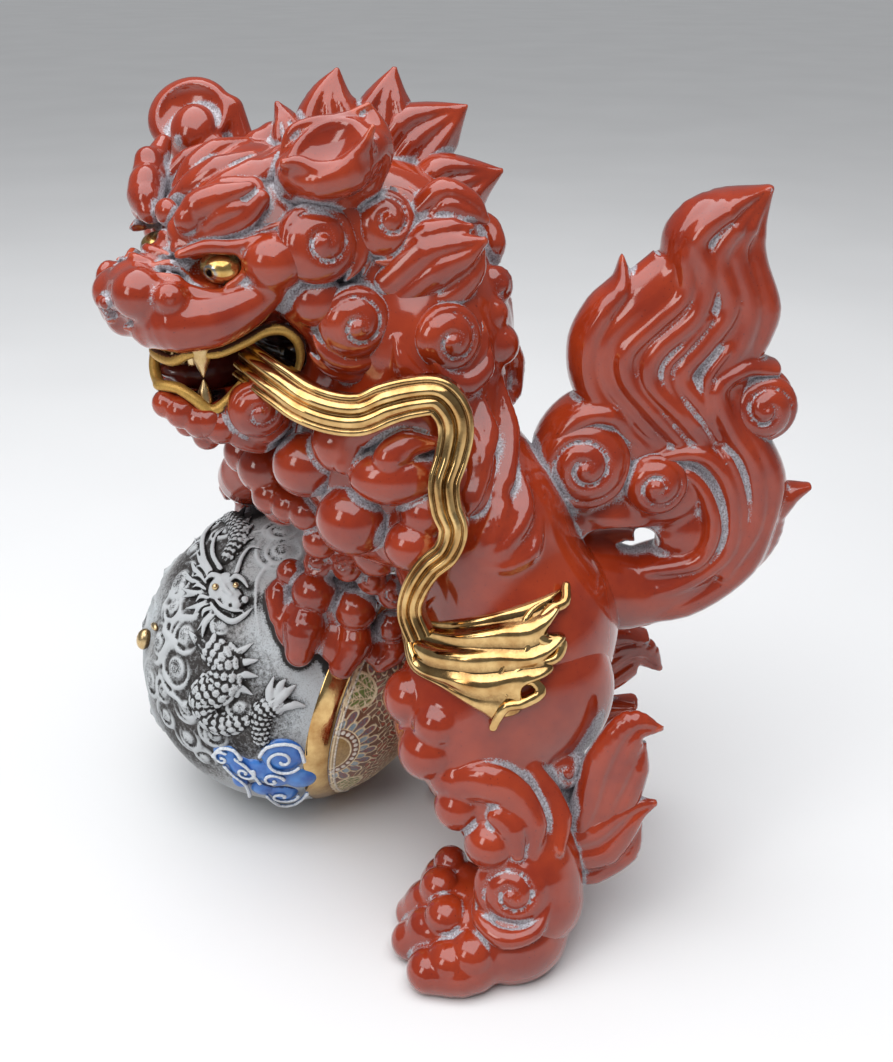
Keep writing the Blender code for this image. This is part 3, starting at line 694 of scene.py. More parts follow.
def beard():
    strokes = [egg(hd(2, 26, -70), (20, 18, 9), HEAD_ROWS, 3)]
    for spot, size in (((8, 52, -59), 6.5), ((14, 48, -62), 7.5), ((19, 42, -66), 8.0), ((24, 35, -69), 8.0),
                       ((9, 43, -70), 6.0), ((16, 38, -75), 6.5), ((-9, 41, -67), 6.5), ((-17, 33, -66), 7.5),
                       ((-24, 22, -66), 8.0), ((-12, 34, -72), 6.0)):
        strokes.append(egg(hd(*spot), size, blend=0.8))
    for side in (1, -1):
        strokes += [
            egg(pair(side, (27, 16, -68)), (13, 14, 13), HEAD_ROWS, 2),
            curl(pair(side, (38, 24, -60)), hd_way(side * 0.9, 0.35, 0.1), 13, 9, 1.4, side, 0.5, 0.8),
            tube([pair(side, spot) for spot in [(28, 33, -61), (28, 30, -73), (28, 17, -80), (26, 1, -78)]],
                 [2, 5, 5, 2], 0.8),
        ]
    return Clay("beard_form", strokes, 0.9)


def chest_ruff():
    near = [
        ((34, -63, 234), (15, 16, 15)), ((55, -23, 237), (14, 20, 13)), ((47, -42, 213), (17, 17, 17)),
        ((56, -9, 220), (12, 12, 12)), ((60, -15, 206), (12, 13, 12)), ((20, -66, 204), 9),
        ((14, -75, 205), 9), ((0, -88, 219), 13), ((28, -33, 187), 12),
        ((43, -46, 248), 14), ((6, -84, 207), 10), ((51, -5, 239), 9), ((-10, -98, 223), 11),
        ((22, -60, 190), 9),
    ]
    far = [((-6, -74, 214), 15), ((-26, -72, 226), 17), ((-44, -56, 232), 16), ((-20, -72, 204), 13),
           ((-38, -56, 212), 15), ((-50, -40, 246), 14), ((-30, -60, 196), 13), ((-14, -76, 236), 15),
           ((-50, -30, 220), 13), ((-4, -80, 198), 11)]
    strokes = [egg((4, -48, 228), (36, 22, 28), blend=3)]
    strokes += [egg(centre, radius, blend=1.0) for centre, radius in near + far]
    strokes += [
        lock([(53, -44, 243), (50, -41, 255), (50, -27, 262), (50, -11, 261), (53, -4, 253)],
             [6, 10, 10, 8, 3], [6, 8, 8, 7, 3],
             (0.95, -0.1, 0.25), 0, 0, 0.8),
        lock([(63, -21, 238), (61, -24, 247), (59, -17, 253), (57, -6, 253)], [4, 8, 7, 3], [4, 7, 6, 3],
             (0.95, -0.1, 0.25), 0, 0, 0.6),
    ]
    return Clay("chest_ruff_form", strokes, 1.0)


def forepaw(arm, radii, palm, knuckles, toes, wrist, name):
    """A foreleg: the arm, four knuckled toes draped over the ball, and wrist curls."""
    strokes = [tube(arm, radii, 6), egg(palm, (22, 18, 14), rows_for(ball_way(palm)), 4)]
    for (knuckle, size), (middle, tip) in zip(knuckles, toes):
        knuckle, middle, tip = (np.array(point, float) for point in (knuckle, middle, tip))
        out = ball_way(knuckle)
        strokes.append(egg(tip * 0.45 + knuckle * 0.55 - out * 5, (size * 1.6, size * 1.6, size * 0.9),
                           rows_for(ball_way(tip)), 2))
        strokes.append(tube([knuckle - out * 4, middle, tip], [size * 0.8, size * 1.02, size * 0.7], 0.6))
        for edge in (-1, 1):
            beside = np.cross(out, unit(tip - knuckle)) * edge * size * 0.66
            strokes.append(tube([knuckle + beside - out * 3, middle + beside - out,
                                 tip + beside * 0.6 - out * 0.5],
                                [size * 0.35, size * 0.5, size * 0.35], 0.8))
        strokes.append(egg(knuckle + out * 3.0, size * 1.16, blend=0.3))
    for centre, normal, radius, spin_way in wrist:
        strokes.append(curl(centre, normal, radius, radius * 0.8, 1.3, spin_way, 0.4, 0.8))
    return Clay(name, strokes, 0.9)


def left_foreleg():
    knuckles = [((-6, -79, 157), 6.5), ((3, -67, 151), 10), ((5, -47, 143), 9.5), ((-2, -30, 130), 7.5)]
    toes = [((0, -85, 150), (6, -85, 140)), ((13, -71, 138), (17, -74, 125)),
            ((10, -47, 128), (15, -53, 116)), ((0, -27, 118), (3, -34, 111))]
    wrist = [((2, -64, 169), (0.8, -0.4, 0.5), 9, 1), ((8, -49, 170), (0.9, -0.2, 0.4), 8.5, -1),
             ((8, -27, 155), (0.95, 0.0, 0.3), 9, 1), ((8, -37, 162), (0.9, -0.1, 0.4), 8, -1)]
    return forepaw([(34, 4, 224), (38, -14, 208), (10, -44, 188), (-20, -49, 156)], [26, 22, 15, 10],
                   (-8, -53, 144), knuckles, toes, wrist, "left_foreleg_form")


def right_foreleg():
    hand = on_ball(np.array([-44.0, -6.0, 78.0]), 9)
    knuckles, toes = [], []
    for turn, size in ((-0.62, 7.0), (-0.22, 9.5), (0.2, 9.0), (0.6, 7.0)):
        way = unit((-0.58 - 0.06 * math.cos(turn), -0.42 * math.sin(turn) - 0.10, 0.76))
        knuckles.append((on_ball(way, 14), size))
        toes.append((on_ball(way - np.array([0.16, 0.08 * math.sin(turn), 0.16]), 9),
                     on_ball(way - np.array([0.26, 0.14 * math.sin(turn), 0.34]), 5)))
    wrist = [(on_ball((-0.45, -0.35, 0.85), 20), (-0.5, -0.5, 0.7), 9, 1),
             (on_ball((-0.5, 0.05, 0.9), 20), (-0.6, 0.1, 0.7), 8, -1)]
    return forepaw([(-30, -34, 226), (-50, -76, 212), (-63, -107, 190), (-84, -106, 176), hand],
                   [24, 19, 15, 14, 12],
                   hand, knuckles, toes, wrist, "right_foreleg_form")


def hind_leg(side, name):
    if side > 0:
        strokes = [
            egg((50, 30, 126), (34, 50, 48), blend=6),
            tube([(50, 8, 112), (64, 22, 84), (80, 40, 54), (88, 42, 32)], [34, 28, 23, 24], 10, steps=5),
            egg((58, -16, 126), 14, blend=1.2), egg((72, -8, 106), 15, blend=1.2),
            egg((73, -4, 121), 12, blend=1.5), egg((82, 6, 81), 12, blend=1.2),
            egg((91, 21, 67), 13, blend=1.2), egg((77, 2, 95), 11, blend=1.5),
            lock([(85, 3, 94), (89, 19, 99), (90, 31, 91), (94, 39, 78), (99, 40, 65)], [8, 10, 10, 8, 2],
                 [4, 6, 6, 5, 2],
                 (0.95, -0.2, 0.2), 0, 0, 1.2),
            lock([(81, 40, 101), (83, 46, 89), (88, 52, 77), (97, 53, 66)], [4, 7, 7, 2], [3, 5, 4.5, 2],
                 (0.95, 0.1, 0.2), 0, 0, 2.0),
            lock([(95, 23, 85), (97, 30, 78), (101, 33, 66)], [5, 7, 3], [4, 5, 2], (0.95, -0.2, 0.2), 0,
                 0, 0.8),
            egg((58, 55, 78), 13, blend=4), curl((72, 56, 95), (0.95, 0.15, 0.2), 11.5, 8, 1.4, 1, 0.3, 0.8),
            curl((103, 31, 48), (0.95, -0.15, 0.3), 19, 11, 1.9, 1, 0.8, 1.0),
            tube([(89, 14, 36), (106, 16, 33), (115, 27, 30), (113, 41, 33), (107, 48, 44)],
                 [1, 4, 5, 4, 1], 1.0),
        ]
        return Clay(name, strokes, 1.1)
    strokes = [
        egg((-14, 46, 122), (30, 42, 46), blend=6),
        tube([(-16, 30, 108), (-26, 38, 80), (-36, 52, 50), (-42, 52, 30)], [31, 26, 22, 23], 10, steps=5),
        egg((-22, 2, 106), 14, blend=1.0), egg((-28, 14, 82), 14, blend=1.0),
        egg((-36, 26, 60), 13, blend=1.0),
        lock([(-46, 20, 110), (-52, 36, 84), (-56, 50, 52)], [9, 13, 3], [5, 7, 2], (-0.95, -0.1, 0.2), 0,
             0, 2),
        lock([(-44, 48, 112), (-52, 60, 84), (-56, 64, 56)], [6, 9, 3], [4, 6, 2], (-0.95, 0.2, 0.2), 0,
             0, 1.5),
        curl((-43, 66, 112), (-0.95, 0.3, 0.1), 13, 9, 1.4, -1, 0.3, 0.8),
        curl((-60, 48, 40), (-0.95, -0.1, 0.3), 19, 11, 1.9, -1, 0.8, 1.0),
    ]
    return Clay(name, strokes, 1.2)


def hind_paw(heel, toes, name):
    heel = np.array(heel, float)
    strokes = [egg(heel - np.array([0, 4.0, 0]), (28, 29, 25), blend=4)]
    for knuckle, tip, size in toes:
        knuckle, tip = np.array(knuckle, float), np.array(tip, float)
        low = np.array([tip[0], tip[1], max(tip[2], 9.0)])
        strokes.append(tube([heel + np.array([0, 0, 6.0]), knuckle - np.array([0, 0, 6.0]), low],
                            [size * 1.3, size * 1.25, size * 1.05], 2.5))
        strokes.append(egg(knuckle * 0.5 + low * 0.5 + np.array([0, 0, 1.0]),
                           (size * 1.12, size * 1.15, size * 1.1),
                           blend=0.5))
        strokes.append(egg(low, (size, size, size * 0.95), blend=0.8))
        strokes.append(egg(knuckle + np.array([0, 0, 1.0]), size * 1.12, blend=0.3))
    return Clay(name, strokes, 1.0, floor=0.1)


def left_hind_paw():
    return hind_paw((92, 34, 16), [
        ((70, 2, 36), (60, -8, 9), 7.5), ((82, -3, 31), (74, -16, 9), 9.0),
        ((97, 0, 26), (93, -17, 9), 9.5), ((112, 12, 17), (113, -8, 9), 10.5),
    ], "left_hind_paw_form")


def right_hind_paw():
    return hind_paw((-42, 46, 16), [
        ((-64, 26, 25), (-68, 8, 9), 8.5), ((-50, 16, 27), (-52, 0, 9), 9.5),
        ((-34, 16, 27), (-34, -1, 9), 9.5), ((-19, 26, 24), (-17, 9, 9), 8.5),
    ], "right_hind_paw_form")


def leg_flame(name):
    table = {
        "left_leg_flame_upper": [
            ([(76, 66, 52), (76, 72, 78), (76, 77, 102), (76, 86, 120), (76, 99, 120)],
             [13, 14, 13.5, 10, 1.5]),
            ([(77, 72, 67), (77, 81, 84), (77, 87, 101), (77, 91, 112)], [9, 12, 9, 2]),
        ],
        "left_leg_flame_lower": [
            ([(79, 57, 54), (79, 73, 59), (79, 87, 75), (79, 98, 80)], [13, 16, 9, 2]),
            ([(77, 55, 41), (77, 70, 43), (77, 85, 53), (77, 92, 67)], [9, 12, 10, 2]),
        ],
        "right_leg_flame_upper": [
            ([(-30, 64, 84), (-31, 84, 84), (-30, 104, 98), (-30, 117, 88)], [10, 15, 13, 2]),
            ([(-30, 70, 92), (-30, 92, 106), (-30, 108, 108)], [9, 12, 2]),
        ],
        "right_leg_flame_lower": [
            ([(-36, 62, 54), (-35, 84, 56), (-32, 105, 65)], [12, 13, 2]),
            ([(-36, 62, 46), (-35, 86, 46), (-34, 100, 54)], [9, 11, 2]),
        ],
    }
    facing = (0.95, 0.05, 0.2) if name.startswith("left") else (-0.95, 0.05, 0.2)
    long_flame = [7, 9, 8, 6, 1.5]
    short_flame = [7, 8, 7, 2]
    strokes = [lock(points, widths, long_flame if len(points) == 5 else short_flame[:len(points)],
                    facing, 2, 0.24, 0.8)
               for points, widths in table[name]]
    return Clay(name + "_form", strokes, 1.0)


TAIL_PLANE = 5
# A strand is this thick at its sharp tip, and as thick as stated from this width on.
STRAND_EDGE = 1.5
STRAND_FULL_WIDTH = 8.5


def in_tail_plane(pairs):
    """Points of the tail's upright middle plane, from how far back and how high they are."""
    return [(TAIL_PLANE, back, height) for back, height in pairs]


def tail():
    core = [
        tube([(14, 62, 160), (6, 96, 156), (5, 120, 168)], [22, 19, 17], 8),
        lock(in_tail_plane([(87, 157), (121, 163), (146, 188), (139, 214), (120, 240)]),
             [15, 17, 18, 18, 14], [13, 13, 12, 11, 8],
             (1, 0, 0), 0, 0, 3),
        lock(in_tail_plane([(120, 235), (95, 260), (82, 279), (92, 295), (111, 316), (114, 336),
              (140, 351)]),
             [14, 18, 22, 22, 20, 14, 1], [12, 14, 15, 15, 14, 9, 1], (1, 0, 0), 0, 0, 3),
        lock(in_tail_plane([(138, 225), (128, 255), (128, 281), (132, 302), (128, 325), (140, 349)]),
             [14, 14, 16, 15, 11, 1],
             [13, 13, 14, 14, 11, 1], (1, 0, 0), 0, 0, 3),
        lock(in_tail_plane([(55, 198), (75, 188), (100, 188), (125, 182)]), [10, 8, 6, 10], [13, 12, 11, 12],
             (1, 0, 0), 0, 0, 3),
        egg((8, 65, 225), (14, 25, 26), blend=3), egg((8, 104, 212), (14, 24, 20), blend=3),
        egg((6, 147, 253), (11, 15, 18), blend=3), egg((6, 92, 233), (11, 20, 14), blend=3),
        egg((6, 80, 198), (13, 24, 13), blend=3), egg((6, 119, 188), (14, 18, 20), blend=3),
    ]
    flows = [
        ([(96, 232), (78, 248), (66, 265), (64, 283), (70, 298), (78, 309),
          (78, 322)], [6, 8, 9, 9, 8, 6, 1], 14),
        ([(103, 233), (85, 253), (73, 269), (72, 285), (82, 298), (94, 309),
          (101, 319), (103, 333), (114, 344), (140, 352)], [6, 8, 9, 9, 8, 7, 7, 7, 6, 1], 14),
        ([(113, 233), (95, 253), (82, 269), (81, 282), (93, 295), (105, 308),
          (105, 325), (112, 339), (139, 351)],
         [6, 8, 9, 9, 9, 8, 8, 7, 1], 17),
        ([(121, 235), (106, 253), (92, 268), (94, 282), (110, 298), (114, 316),
          (108, 331), (121, 344), (140, 352)],
         [6, 8, 9, 9, 9, 9, 9, 8, 1], 18),
        ([(127, 240), (115, 258), (106, 271), (117, 287), (125, 303), (118, 323),
          (125, 337), (141, 352)],
         [6, 8, 9, 9, 9, 9, 8, 1], 17),
        ([(129, 250), (122, 267), (131, 284), (134, 302), (126, 324), (131, 337),
          (141, 351)],
         [4, 8, 9, 9, 9, 7, 1], 15),
        ([(126, 234), (115, 247), (104, 261), (99, 274), (107, 285), (116, 298),
          (116, 308)], [3, 5, 5, 5, 5, 5, 2], 26),
        ([(129, 237), (121, 254), (118, 269), (125, 282), (132, 295)], [3, 5, 5, 5, 2], 26),
        ([(133, 174), (141, 193), (139, 213), (131, 231), (121, 240)], [3, 5, 5, 5, 2], 27),
        ([(137, 268), (141, 285), (143, 299), (136, 319), (135, 333), (141, 351)],
         [4, 7, 8, 7, 6, 1], 12),
        ([(82, 148), (117, 153), (144, 174), (154, 201), (157, 208)], [9, 11, 10, 7, 4], 17),
        ([(80, 158), (111, 164), (134, 182), (136, 204), (129, 224), (116, 233),
          (99, 229), (90, 218)],
         [8, 9, 9, 8, 8, 7, 6, 4], 19),
        ([(96, 171), (120, 178), (127, 195), (122, 213), (112, 223), (100, 222)],
         [6, 8, 8, 7, 6, 3], 20),
        ([(135, 171), (147, 198), (144, 225), (131, 245), (123, 263), (134, 273),
          (150, 271)], [8, 9, 9, 8, 8, 7, 4], 18),
        ([(150, 188), (154, 214), (145, 235), (134, 250), (133, 263), (141, 267)],
         [8, 9, 8, 7, 6, 3], 16),
        ([(146, 188), (157, 200), (164, 207), (174, 211)], [9, 9, 7, 2], 10),
        ([(53, 193), (49, 214), (50, 235), (61, 249), (75, 251), (92, 237)],
         [6, 8, 9, 9, 8, 4], 17),
        ([(58, 191), (75, 188), (90, 193), (100, 198)], [6, 7, 6, 3], 16),
        ([(52, 188), (71, 176), (96, 168), (120, 174)], [8, 9, 8, 7], 16),
    ]
    strokes = list(core)
    for points, widths, thick in flows:
        thickness = [min(thick, STRAND_EDGE + width * thick / STRAND_FULL_WIDTH) for width in widths]
        strokes.append(lock(in_tail_plane(points), widths, thickness, (1, 0, 0), 1, 0.05, 0.9))
    for centre, radius in (((-13, 64, 227), 20), ((-12, 98, 218), 16), ((-8, 145, 253), 14)):
        strokes.append(curl(centre, (-1, 0, 0.1), radius, 11, 1.7, -1, 0.5, 0.8))
    strokes.append(egg((5, 98, 184), (40, 5.5, 4.2), blend=1, carve=True))
    strokes.append(egg((15, 84, 187), (14, 19, 7.5), blend=2, carve=True))
    return Clay("tail_form", strokes, 1.1)


# Each tail curl sits on its CAD part, its centre moved to the lion's left of the part's middle.
TAIL_CURLS = {
    "tail_curl_inner": (-8, 22, 13, 1.9, 1, 0.4),
    "tail_curl_middle": (-6, 15, 11, 1.4, 1, 2.2),
    "tail_curl_outer": (2, 16, 12, 1.4, -1, 2.6),
}


def tail_curl(name):
    left, radius, height, turns, hand, spin = TAIL_CURLS[name]
    centre = middle(name) + np.array([left, 0.0, 0.0])
    return Clay(name + "_form", [curl(centre, (1, 0, 0.12), radius, height, turns, hand, spin, 1.0)], 0.95)


# ------------------------------------------------------------------ the ball

BALL_UP = rows_for(BALL_AXIS)[1]
BALL_SIDE = np.cross(BALL_UP, BALL_AXIS)


def on_ball(way, lift=0.0):
    """The point of the ball's surface in a direction, raised by a lift."""
    return BALL_CENTRE + unit(way) * (BALL_RADIUS + lift)


def ball_way(point):
    return unit(np.asarray(point, float) - BALL_CENTRE)


def swirl(centre, radius, turns, hand, spin, points=26, inner=0.12):
    """Points of a spiral lying on the ball, from its open end to its middle."""
    out = ball_way(centre)
    rows = rows_for(out)
    path = []
    for part in np.linspace(0, 1, points):
        angle = spin + hand * part * turns * 2 * math.pi
        reach = radius * (1 - (1 - inner) * part)
        around = rows[0] * math.cos(angle) + rows[1] * math.sin(angle)
        path.append(on_ball(out * BALL_RADIUS + around * reach))
    return path


def lay_on_ball(points, steps=6, lift=0.0):
    return [on_ball(point - BALL_CENTRE, lift) for point in curve(points, steps)]


def scaled_limb(points, radii, size, sunk):
    """A limb that lies half sunk in the ball, with rounded scales in offset rows."""
    line = lay_on_ball(points, 8)
    sizes = along(radii, len(line))
    line = np.array([on_ball(ball_way(point), -sunk * radius) for point, radius in zip(line, sizes)])
    lengths = np.concatenate([[0], np.cumsum(np.linalg.norm(np.diff(line, axis=0), axis=1))])
    ahead = np.gradient(line, axis=0)
    ahead /= np.linalg.norm(ahead, axis=1)[:, None]
    out = (line - BALL_CENTRE) / np.linalg.norm(line - BALL_CENTRE, axis=1)[:, None]
    across = np.cross(out, ahead)
    stations = np.arange(len(line))

    def scale(p):
        where, far = nearest(p, line)
        radius = np.interp(where, stations, sizes)
        spot, side, up = (np.stack([np.interp(where, stations, table[:, axis]) for axis in range(3)], 1)
                          for table in (line, across, out))
        offset = p - spot
        turn = np.arctan2(np.einsum("ij,ij->i", offset, side), np.einsum("ij,ij->i", offset, up))
        row = np.interp(where, stations, lengths) / size
        column = turn * radius / size + 0.5 * (np.floor(row) % 2)
        dome = 1 - (2 * (column % 1) - 1) ** 2 * 0.9 - (2 * (row % 1) - 1) ** 2 * 0.9
        return far - radius, np.sqrt(np.clip(dome, 0, 1))

    def distance(p):
        gap, dome = scale(p)
        return (gap - 1.5 * dome + 0.7) * 0.8

    def grooves(p):
        gap, dome = scale(p)
        return (1 - dome) * (np.abs(gap) < 2.5)

    reach = sizes.max() + 2
    return (line.min(0) - reach, line.max(0) + reach, distance, 0.6, False), grooves


CLOUDS = [
    ((0, -140, 106), 9.5, 1, 2.2), ((-5, -135, 123), 8.0, -1, 0.2), ((-22, -144, 130), 6.5, 1, 3.0),
    ((-30, -86, 159), 8.5, -1, 0.8), ((-29, -141, 138), 5.0, -1, 1.0), ((-56, -137, 148), 5.5, 1, 0.4),
    ((-17, -152, 113), 7.5, -1, 2.6), ((-4, -149, 90), 6.5, 1, 1.0), ((17, -120, 76), 6.0, -1, 0.5),
    ((-3, -149, 75), 6.0, 1, 2.6), ((7, -136, 68), 6.5, -1, 1.2), ((9, -128, 57), 5.0, 1, 0.4),
    ((20, -105, 95), 6.0, 1, 2.0), ((9, -135, 88), 6.0, -1, 1.6), ((0, -115, 132), 5.0, 1, 1.1),
]


def far_clouds():
    """Clouds that carry the relief round the side the lion's paws don't touch."""
    spots = []
    for index in range(70):
        height = 1 - 2 * (index + 0.5) / 70
        angle = index * 2.39996
        ring = math.sqrt(1 - height * height)
        way = np.array([ring * math.cos(angle), ring * math.sin(angle), height])
        seen = way[0] > 0.25 and way[1] > -0.45
        in_panel = way @ BALL_AXIS > 0.42
        if seen or in_panel or way[2] < -0.9 or way[0] > 0.55:
            continue
        spots.append((on_ball(way), 6.5 + 3.5 * math.sin(index * 1.7) ** 2, 1 if index % 2 else -1,
                      index * 0.9))
    return spots


def ball_shell():
    strokes = [egg(BALL_CENTRE, BALL_RADIUS, blend=0)]
    clouds = CLOUDS + far_clouds()
    for centre, radius, hand, spin in clouds:
        out = ball_way(centre)
        strokes.append(curl(on_ball(out, -0.6), out, radius * 0.8, 4.2, 1.2, hand, spin, 0.8))
        strokes.append(tube(swirl(centre, radius * 1.25, 0.8, hand, spin, 12, 0.75), [0.6, 1.7, 1.5, 0.7],
                            0.8,
                            steps=2))
        strokes.append(tube(swirl(centre, radius * 1.75, 0.45, -hand, spin + 1.5, 9, 0.8),
                            [0.4, 1.4, 1.2, 0.4],
                            0.8, steps=2))
    for line, size in (
        ([(9, -94, 128), (0, -97, 139), (-12, -98, 149), (-20, -94, 154), (-23, -87, 156),
          (-26, -79, 157)], [0.6, 1.3, 1.3, 0.8]),
        ([(-36, -109, 158), (-45, -105, 162), (-47, -98, 163), (-43, -89, 163)], [0.5, 1.3, 0.8]),
        ([(-18, -148, 123), (-16, -149, 119), (-8, -143, 118), (-9, -148, 110), (-12, -154, 101)],
         [1.0, 2.4, 2.4, 1.0]),
        ([(-13, -128, 138), (-8, -130, 132), (-13, -139, 129), (-14, -145, 122)], [1.0, 2.0, 1.6, 0.6]),
        ([(-9, -152, 98), (0, -146, 92), (6, -140, 90), (12, -131, 81)], [1.0, 2.0, 1.6, 0.6]),
    ):
        strokes.append(tube(lay_on_ball(line, 3), size, 0.8, steps=2))
    return Clay("ball_body", strokes, 1.1, floor=0.15)


def dragon_head():
    """The dragon's mask: low snout, brow ridges, teeth line, horns and a swept mane."""
    strokes = [
        egg((-15, -116, 145), (8, 9, 5), rows_for((0.54, -0.34, 0.77)), 1.5),
        egg((-8, -110, 142), (6.5, 7, 4.6), rows_for((0.63, -0.26, 0.73)), 1.5),
        egg((-3, -107, 142), 3.0, blend=0.5), egg((-4, -103, 144), 2.2, blend=0.4),
        egg((-3, -112, 141), 2.2, blend=0.4),
        tube([(-19, -126, 147), (-20, -122, 150), (-17, -117, 150), (-12, -114, 149)],
             [0.8, 1.8, 1.7, 0.8], 0.4),
        tube([(-13, -113, 149), (-15, -109, 152), (-13, -105, 151), (-9, -102, 149)],
             [0.8, 1.6, 1.4, 0.7], 0.4),
        tube([(-14, -116, 150), (-9, -113, 147), (-6, -110, 146)], [1.0, 1.4, 1.2], 0.4),
        tube([(-8, -121, 140), (-2, -116, 137), (2, -109, 135), (1, -103, 138), (-1, -99, 141)],
             [1.2, 1.9, 1.9, 1.5, 0.6], 0.4),
        tube([(-10, -120, 143), (-4, -115, 141), (-1, -109, 140), (0, -104, 140)], [0.8, 1.3, 1.3, 0.8], 0.3),
        tube([(-24, -123, 150), (-38, -129, 152), (-58, -133, 154), (-83, -131, 151), (-77, -122, 157)],
             [2.0, 1.8, 1.5, 1.1, 0.4], 0.5),
        tube([(-23, -118, 152), (-36, -124, 155), (-51, -125, 157), (-58, -120, 160)],
             [1.6, 1.4, 1.1, 0.4], 0.5),
        tube([(-18, -109, 152), (-27, -107, 157), (-33, -103, 160), (-31, -97, 160)],
             [1.4, 1.2, 0.9, 0.4], 0.5),
    ]
    count = 11
    for index, part in enumerate(np.linspace(0, 1, count)):
        root, middle, tip = (curve(line, 10)[int(round(part * 20))] for line in (
            [(-23, -123, 148), (-16, -124, 143), (-4, -117, 137)],
            [(-35, -131, 150), (-20, -132, 142), (-1, -123, 131)],
            [(-78, -142, 144), (-30, -142, 138), (3, -125, 123)]))
        sway = np.cross(ball_way(middle), unit(tip - root)) * (2.0 if index % 2 else -1.0)
        strokes.append(lock([root, middle + sway, tip], [1.3, 1.9, 0.5], [1.3, 1.8, 0.5], ball_way(tip),
                            1, 0.25, 0.3))
        if index % 2:
            lift = ball_way(middle) * 1.6
            strokes.append(lock([root + lift, middle * 0.6 + root * 0.4 + lift - sway, middle + lift],
                                [1.0, 1.5, 0.4], [1.0, 1.4, 0.4], ball_way(tip), 0, 0, 0.3))
    return Clay("dragon_mask", strokes, 0.55)


def dragon_body():
    neck, neck_lines = scaled_limb([(-30, -116, 154), (-41, -111, 159), (-59, -114, 161),
                                    (-86, -124, 154), (-83, -133, 151)], [4, 6, 6, 5, 3], 3.2, 0.3)
    coil, coil_lines = scaled_limb([(4, -123, 122), (11, -113, 117), (15, -114, 106), (14, -124, 96),
                                    (17, -121, 86), (20, -111, 85), (22, -102, 89)],
                                   [7, 11, 12, 11, 9, 7, 4], 4.2, 0.45)
    strokes = [neck, coil]
    for base, tip in (
        ((11, -105, 122), (10, -98, 127)), ((14, -102, 118), (15, -95, 120)),
        ((17, -102, 113), (18, -95, 112)), ((19, -105, 107), (21, -98, 103)),
        ((-47, -108, 162), (-54, -104, 164)), ((-56, -110, 162), (-69, -107, 163)),
        ((-70, -115, 160), (-90, -114, 159)),
        ((-40, -108, 160), (-41, -102, 162)), ((1, -128, 123), (-5, -134, 126)),
        ((5, -119, 125), (2, -118, 130)),
    ):
        strokes.append(tube([base, tip], [2.6, 0.4], 0.5))
    clay = Clay("dragon_coils", strokes, 0.65)
    clay.lines = [neck_lines, coil_lines]
    return clay


def dragon_claw():
    shin, shin_lines = scaled_limb([(23, -95, 75), (23, -95, 86), (22, -93, 94), (22, -88, 98)],
                                   [4, 5.5, 6, 6.5], 3.0, 0.35)
    strokes = [shin]
    for line in ([(23, -89, 99), (21, -89, 106), (19, -87, 113)],
                 [(23, -86, 100), (21, -81, 105), (19, -76, 108)],
                 [(23, -85, 97), (22, -78, 98), (22, -71, 97)],
                 [(22, -87, 100), (20, -84, 108), (19, -81, 111)]):
        strokes.append(tube(line, [2.8, 2.6, 0.4], 0.4))
    clay = Clay("dragon_foot", strokes, 0.6)
    clay.lines = [shin_lines]
    return clay


BLUE_LOBES = [
    ((17, -115, 64), 8.0), ((17, -108, 57), 8.5), ((19, -100, 55), 9.0), ((22, -85, 67), 11.5),
    ((18, -90, 51), 9.5), ((16, -77, 48), 9.0), ((9, -88, 34), 8.5), ((11, -99, 38), 7.0),
    ((11, -110, 43), 5.0),
]


def blue_clouds():
    strokes = [egg(on_ball(ball_way(centre), -1.5), (radius, radius, 4.8), rows_for(ball_way(centre)), 0.8)
               for centre, radius in BLUE_LOBES]
    return Clay("blue_clouds", strokes, 0.8, floor=0.2)


def cloud_lines():
    """The white slip lines that are trailed on the blue clouds."""
    strokes = []
    lines = [
        swirl((22, -85, 66), 9.5, 1.25, -1, -0.6), swirl((18, -91, 51), 6.0, 1.0, 1, 0.2),
        swirl((10, -88, 35), 8.0, 1.0, -1, 0.0), swirl((18, -105, 56), 5.5, 1.1, -1, 0.4),
        swirl((17, -116, 64), 5.0, 1.1, 1, 1.0),
        [(18, -116, 58), (17, -112, 52), (15, -106, 44), (8, -106, 32)],
        [(21, -109, 65), (21, -103, 59), (18, -98, 48)],
        [(16, -121, 64), (19, -116, 71), (21, -109, 71), (21, -106, 66)],
        [(23, -96, 69), (24, -92, 75), (24, -83, 77), (23, -76, 74), (22, -74, 65)],
        [(11, -96, 35), (-2, -92, 20), (1, -83, 22), (11, -75, 37)],
    ]
    for line in lines:
        raised = [on_ball(ball_way(point), 3.4) for point in line]
        strokes.append(tube(raised, [1.1, 1.0, 0.9, 1.2], 0.3, steps=2))
    return Clay("cloud_lines", strokes, 0.6, floor=0.3)


def dragon_eyes():
    return Clay("dragon_eyes", [egg((-11, -119, 148), 1.9, blend=0), egg((-9, -108, 150), 1.7, blend=0)], 0.4)


def dragon_pearl():
    """A gilt bead where the CAD has it, with a small tongue of flame above."""
    bead = middle("dragon_pearl")
    outward = unit(bead - BALL_CENTRE)
    flame = on_ball(bead - BALL_CENTRE + np.array([6.0, 4.0, 12.0]), 1.0)
    strokes = [egg(bead, (4.6, 6.0, 4.0), rows_for(outward), 0.6),
               egg(flame, (4.0, 1.8, 2.0), rows_for(unit(flame - BALL_CENTRE)), 0.6)]
    return Clay("pearl", strokes, 0.6)


def grid_faces(rows, columns, wrap=False):
    """Quads of a grid of vertices; wrap joins its last column to its first."""
    last = columns if wrap else columns - 1
    row, column = np.meshgrid(np.arange(rows - 1), np.arange(last), indexing="ij")
    row, column = row.ravel(), column.ravel()
    after = (column + 1) % columns
    return np.stack([row * columns + column, row * columns + after,
                     (row + 1) * columns + after, (row + 1) * columns + column], 1)


